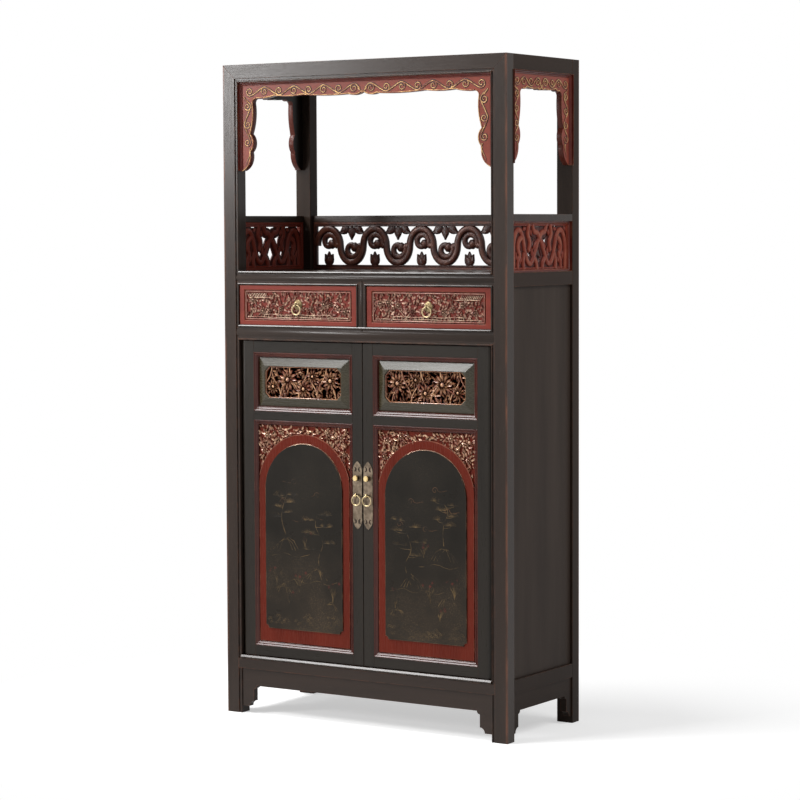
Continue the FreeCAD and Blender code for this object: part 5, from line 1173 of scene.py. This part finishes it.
# Brass fittings: cut sheet lock plates with a bored stud, staple eyes, petalled rosettes and wire rings.
# Cast and filed by hand; handling keeps the high parts pale while the rest has browned. The stud's dark body
# and pale tip are painted shade and highlight.
def aged_brass(name, brown, bright, polished, dull, clean):
    """Cast brass, browned in patches and pale where hands keep its edges clean."""
    material, tree, shader = new_material(name)
    where = piece_place(tree)
    tarnish = mottling(tree, where, 90.0, 6.0)
    scratches = mottling(tree, where, 700.0, 3.0)
    colour = mix_colours(tree, remap(tree, tarnish, 0.35, 0.65), brown, bright)
    edges = add_node(tree, "ShaderNodeGroup", {"Amount": 0.8, "Radius": 0.0012, "Patch Scale": 90.0},
                     node_tree=rubbed_edges)
    tree.links.new(mix_colours(tree, edges.outputs["Mask"], colour, polished), shader.inputs["Base Color"])
    shader.inputs["Metallic"].default_value = 0.85
    tree.links.new(remap(tree, tarnish, 0.3, 0.7, dull, clean), shader.inputs["Roughness"])
    bump(tree, shader, scratches, 0.10, 0.0002)
    return material


plate_brass = aged_brass(
    "plate_brass", paint(92, 80, 67), paint(132, 117, 100), paint(206, 188, 156), dull=0.46, clean=0.32)
ring_brass = aged_brass(
    "ring_brass", paint(158, 138, 102), paint(212, 192, 152), paint(240, 226, 190), dull=0.36, clean=0.22)
rosette_brass = aged_brass(
    "rosette_brass", paint(108, 92, 64), paint(150, 132, 98), paint(210, 190, 146), dull=0.42, clean=0.28)
# Painted light and shade on the stud, by its share of the fitting's depth: its body is painted dark brown as
# shade, its tip pale as a highlight
tree = plate_brass.node_tree
base = tree.nodes["Principled BSDF"].inputs["Base Color"]
spread = add_node(tree, "ShaderNodeTexCoord").outputs["Generated"]
depth = add_node(tree, "ShaderNodeSeparateXYZ", {0: spread}).outputs["Y"]
colour = mix_colours(tree, remap(tree, depth, 0.84, 0.76), base.links[0].from_socket, paint(58, 45, 31))
tree.links.new(mix_colours(tree, remap(tree, depth, 0.36, 0.26), colour, paint(216, 192, 140)), base)


def hoop(carving, radius, wire, turns=40, sides=12):
    """A closed ring of round wire about the carving's own origin, filed slightly uneven."""
    rings = []
    for turn in range(turns):
        angle = 2 * math.pi * turn / turns
        thick = wire * (1 - 0.05 * (1 + math.sin(5 * angle)) / 2)
        ring = []
        for side in range(sides):
            roll = 2 * math.pi * side / sides
            reach = radius + thick * math.cos(roll)
            ring.append((*around((0.0, 0.0), reach, angle), thick * math.sin(roll)))
        rings.append(ring)
    carving.loft(rings, 0.0, wire, closed=True)


RING_WIRE = 0.002
EYE_WIRE = 0.0016
EYE_RADIUS = 0.00395
PAD_HALF_WIDTH = 0.0130
PAD_HALF_HEIGHT = 0.0145
PAD_RISE = 0.0038
PAD_STEPS = ((1.0, -0.0005), (1.0, 0.0022), (0.9, 0.0034), (0.7, PAD_RISE))
PLATE_EASED = 0.0004
PLATE_THICK = 0.0015
CRESCENT_RADIUS = 0.0052
CRESCENT_OFFSET = 0.0088
CRESCENT_LEVEL = 0.021
CRESCENT_WIDTH = 0.0036
CRESCENT_RISE = 0.0002
for side in ("left", "right"):
    finish_node(side + "_door_lock_plate", plate_brass, PLATE_EASED)
    low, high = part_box(side + "_door_lock_plate")
    centre = (low + high) / 2
    pierced = Carving(
        lambda along, across, out: (centre.x + along, high.y - PLATE_THICK - out, centre.z + across))
    turns = [math.radians(step * 20 - 100) for step in range(11)]
    for end in (-1, 1):
        level = end * ((high.z - low.z) / 2 - CRESCENT_LEVEL)
        for half in (-1, 1):
            arc = [(half * (CRESCENT_OFFSET - CRESCENT_RADIUS * math.cos(turn)),
                    level + CRESCENT_RADIUS * math.sin(turn)) for turn in turns]
            pierced.stem(arc, CRESCENT_WIDTH, CRESCENT_RISE, taper=0.7)
    pierced.make(side + "_door_plate_crescents", door_upright, side + "_door", "dark_lacquer")
    for ring in (side + "_door_ring", side + "_drawer_ring"):
        low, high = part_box(ring)
        centre = (low + high) / 2
        wire_ring = Carving(lambda along, across, out: (centre.x + along, centre.y - out, centre.z + across))
        hoop(wire_ring, (high.z - low.z) / 2 - RING_WIRE, RING_WIRE)
        wire_ring.make(ring + "_wire", ring_brass, ring, "brass", ring)
    low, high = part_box(side + "_drawer_pull")
    centre = (low + high) / 2
    rosette = Carving(lambda along, across, out: (centre.x + along, high.y - out, centre.z + across))
    turns = [2 * math.pi * turn / 24 for turn in range(24)]
    pad = []
    for share, out in PAD_STEPS:
        pad.append([(PAD_HALF_WIDTH * share * math.cos(turn), PAD_HALF_HEIGHT * share * math.sin(turn), out)
                    for turn in turns])
    rosette.loft(pad, 0.0, PAD_RISE)
    for petal in range(8):
        rosette.leaf((0.0, 0.0), math.pi * petal / 4, length=(high.x - low.x) / 2, width=0.0076,
                     height=0.0016, base=0.0034, fullness=1.5)
    rosette.boss((0.0, 0.0), radius=0.0042, height=0.0016, base=0.0040)
    eye_middle = low.y + EYE_WIRE + EYE_RADIUS
    rosette.place = lambda along, across, out: (centre.x + out, eye_middle + along, centre.z + across)
    hoop(rosette, EYE_RADIUS, EYE_WIRE, 24, 10)
    rosette.make(side + "_drawer_rosette", rosette_brass, side + "_drawer", "brass", side + "_drawer_pull")

# Inside: one loose shelf on two cleats, runners under the drawers and the drawer boxes, all bare softwood.
# The wood has browned with age and shows its grain along every board.
def bare_wood(name, grain):
    """Planed softwood, browned in the air, with its growth rings drawn out along the board."""
    material, tree, shader = new_material(name)
    along = vector_node(tree, "MULTIPLY", piece_place(tree), grain)
    rings = add_node(
        tree, "ShaderNodeTexWave", {"Vector": along, "Scale": 1.6, "Distortion": 5.0, "Detail": 3.0},
        bands_direction="DIAGONAL")
    pores = mottling(tree, along, 14.0, 5.0)
    colour = mix_colours(tree, rings.outputs["Fac"], paint(122, 87, 57), paint(142, 104, 70))
    colour = mix_colours(tree, remap(tree, pores, 0.5, 0.75, 0.0, 0.5), colour, paint(90, 61, 40))
    tree.links.new(colour, shader.inputs["Base Color"])
    tree.links.new(remap(tree, pores, 0.3, 0.7, 0.55, 0.75), shader.inputs["Roughness"])
    bump(tree, shader, pores, 0.2, 0.0004)
    return material


finish_node("inner_shelf", bare_wood("shelf_wood", (1.2, 22.0, 22.0)))
drawer_wood = bare_wood("drawer_wood", (22.0, 1.2, 22.0))
for part in ("drawer_runners", "inner_shelf_cleats", "left_drawer_box", "right_drawer_box"):
    finish_node(part, drawer_wood)

# Floor and light: a pale floor that runs out to white, with broad soft lamps over the front left.
# The camera stands where the photograph was taken, about seven metres off with a long lens.
def looked_at(tree):
    """One where the camera, a reflection or glass looks at a surface, nought for the light it gives."""
    paths = add_node(tree, "ShaderNodeLightPath").outputs
    seen = math_node(tree, "MAXIMUM", paths["Is Camera Ray"], paths["Is Glossy Ray"])
    return math_node(tree, "MAXIMUM", seen, paths["Is Transmission Ray"])


FLOOR_REACH = 40.0
FLOOR_DROP = 0.0005
FLOOR_LIFT = 0.52
WORLD_LIGHT = 0.18
floor_mesh = bpy.data.meshes.new("floor")
floor_corners = [(along, across, 0) for along, across in box_corners(FLOOR_REACH, FLOOR_REACH)]
floor_mesh.from_pydata(floor_corners, [], [(0, 1, 2, 3)])
floor = bpy.data.objects.new("floor", floor_mesh)
bpy.context.scene.collection.objects.link(floor)
floor.location.z = -FLOOR_DROP
material, tree, shader = new_material("floor_paper")
shader.inputs["Base Color"].default_value = (0.70, 0.70, 0.70, 1.0)
shader.inputs["Roughness"].default_value = 0.9
shader.inputs["Specular IOR Level"].default_value = 0.0
away = vector_node(tree, "LENGTH", piece_place(tree))
seen = looked_at(tree)
far_off = math_node(tree, "MULTIPLY", remap(tree, away, 0.75, 1.3), seen)
lifted = add_node(tree, "ShaderNodeEmission", {"Strength": math_node(tree, "MULTIPLY", seen, FLOOR_LIFT)})
nearby = add_node(tree, "ShaderNodeAddShader", {0: shader.outputs[0], 1: lifted.outputs[0]})
white = add_node(tree, "ShaderNodeEmission", {"Strength": 1.0})
blended = add_node(tree, "ShaderNodeMixShader", {0: far_off, 1: nearby.outputs[0], 2: white.outputs[0]})
tree.links.new(blended.outputs[0], tree.nodes["Material Output"].inputs["Surface"])
floor_mesh.materials.append(material)

world = bpy.data.worlds.new("studio")
bpy.context.scene.world = world
world.use_nodes = True
sky = world.node_tree
sky_shader = sky.nodes["Background"]
sky_shader.inputs["Color"].default_value = (1.0, 1.0, 1.0, 1.0)
sky.links.new(remap(sky, looked_at(sky), 0.0, 1.0, WORLD_LIGHT, 1.0), sky_shader.inputs["Strength"])


def soft_lamp(name, place, aim, size, power):
    lamp = bpy.data.lights.new(name, "AREA")
    lamp.shape = "RECTANGLE"
    lamp.size, lamp.size_y = size
    lamp.energy = power
    holder = bpy.data.objects.new(name, lamp)
    holder.location = place
    holder.rotation_euler = (Vector(aim) - Vector(place)).to_track_quat("-Z", "Y").to_euler()
    bpy.context.scene.collection.objects.link(holder)


soft_lamp("front_left_window", (-4.0, -4.6, 2.2), (-0.3, -0.2, 1.4), (1.2, 1.0), 116)
soft_lamp("high_front", (-2.6, -3.9, 4.9), (0.0, 0.0, 0.9), (2.1, 2.1), 220)
soft_lamp("high_left", (-3.5, -1.4, 5.7), (0.0, -0.2, 0.7), (2.0, 2.0), 230)
soft_lamp("right_fill", (2.6, -0.2, 3.1), (0.45, 0.0, 1.2), (1.2, 1.6), 44)

LENS_MM = 118.4
SENSOR_MM = 36
CAMERA_PLACE = (3.890, -5.991, 1.340)
CAMERA_YAW = 33.0
CAMERA_PITCH = -3.78
CAMERA_ROLL = -0.241
camera = bpy.data.cameras.new("photograph")
camera.lens = LENS_MM
camera.sensor_width = SENSOR_MM
viewer = bpy.data.objects.new("photograph", camera)
upright = Matrix(((1, 0, 0), (0, 0, -1), (0, 1, 0))).to_4x4()
yaw = Matrix.Rotation(math.radians(CAMERA_YAW), 4, "Z")
pitch = Matrix.Rotation(math.radians(CAMERA_PITCH), 4, "X")
roll = Matrix.Rotation(math.radians(CAMERA_ROLL), 4, "Z")
viewer.matrix_world = Matrix.Translation(CAMERA_PLACE) @ yaw @ pitch @ upright @ roll
bpy.context.scene.collection.objects.link(viewer)
bpy.context.scene.camera = viewer
bpy.context.scene.view_settings.view_transform = "Standard"
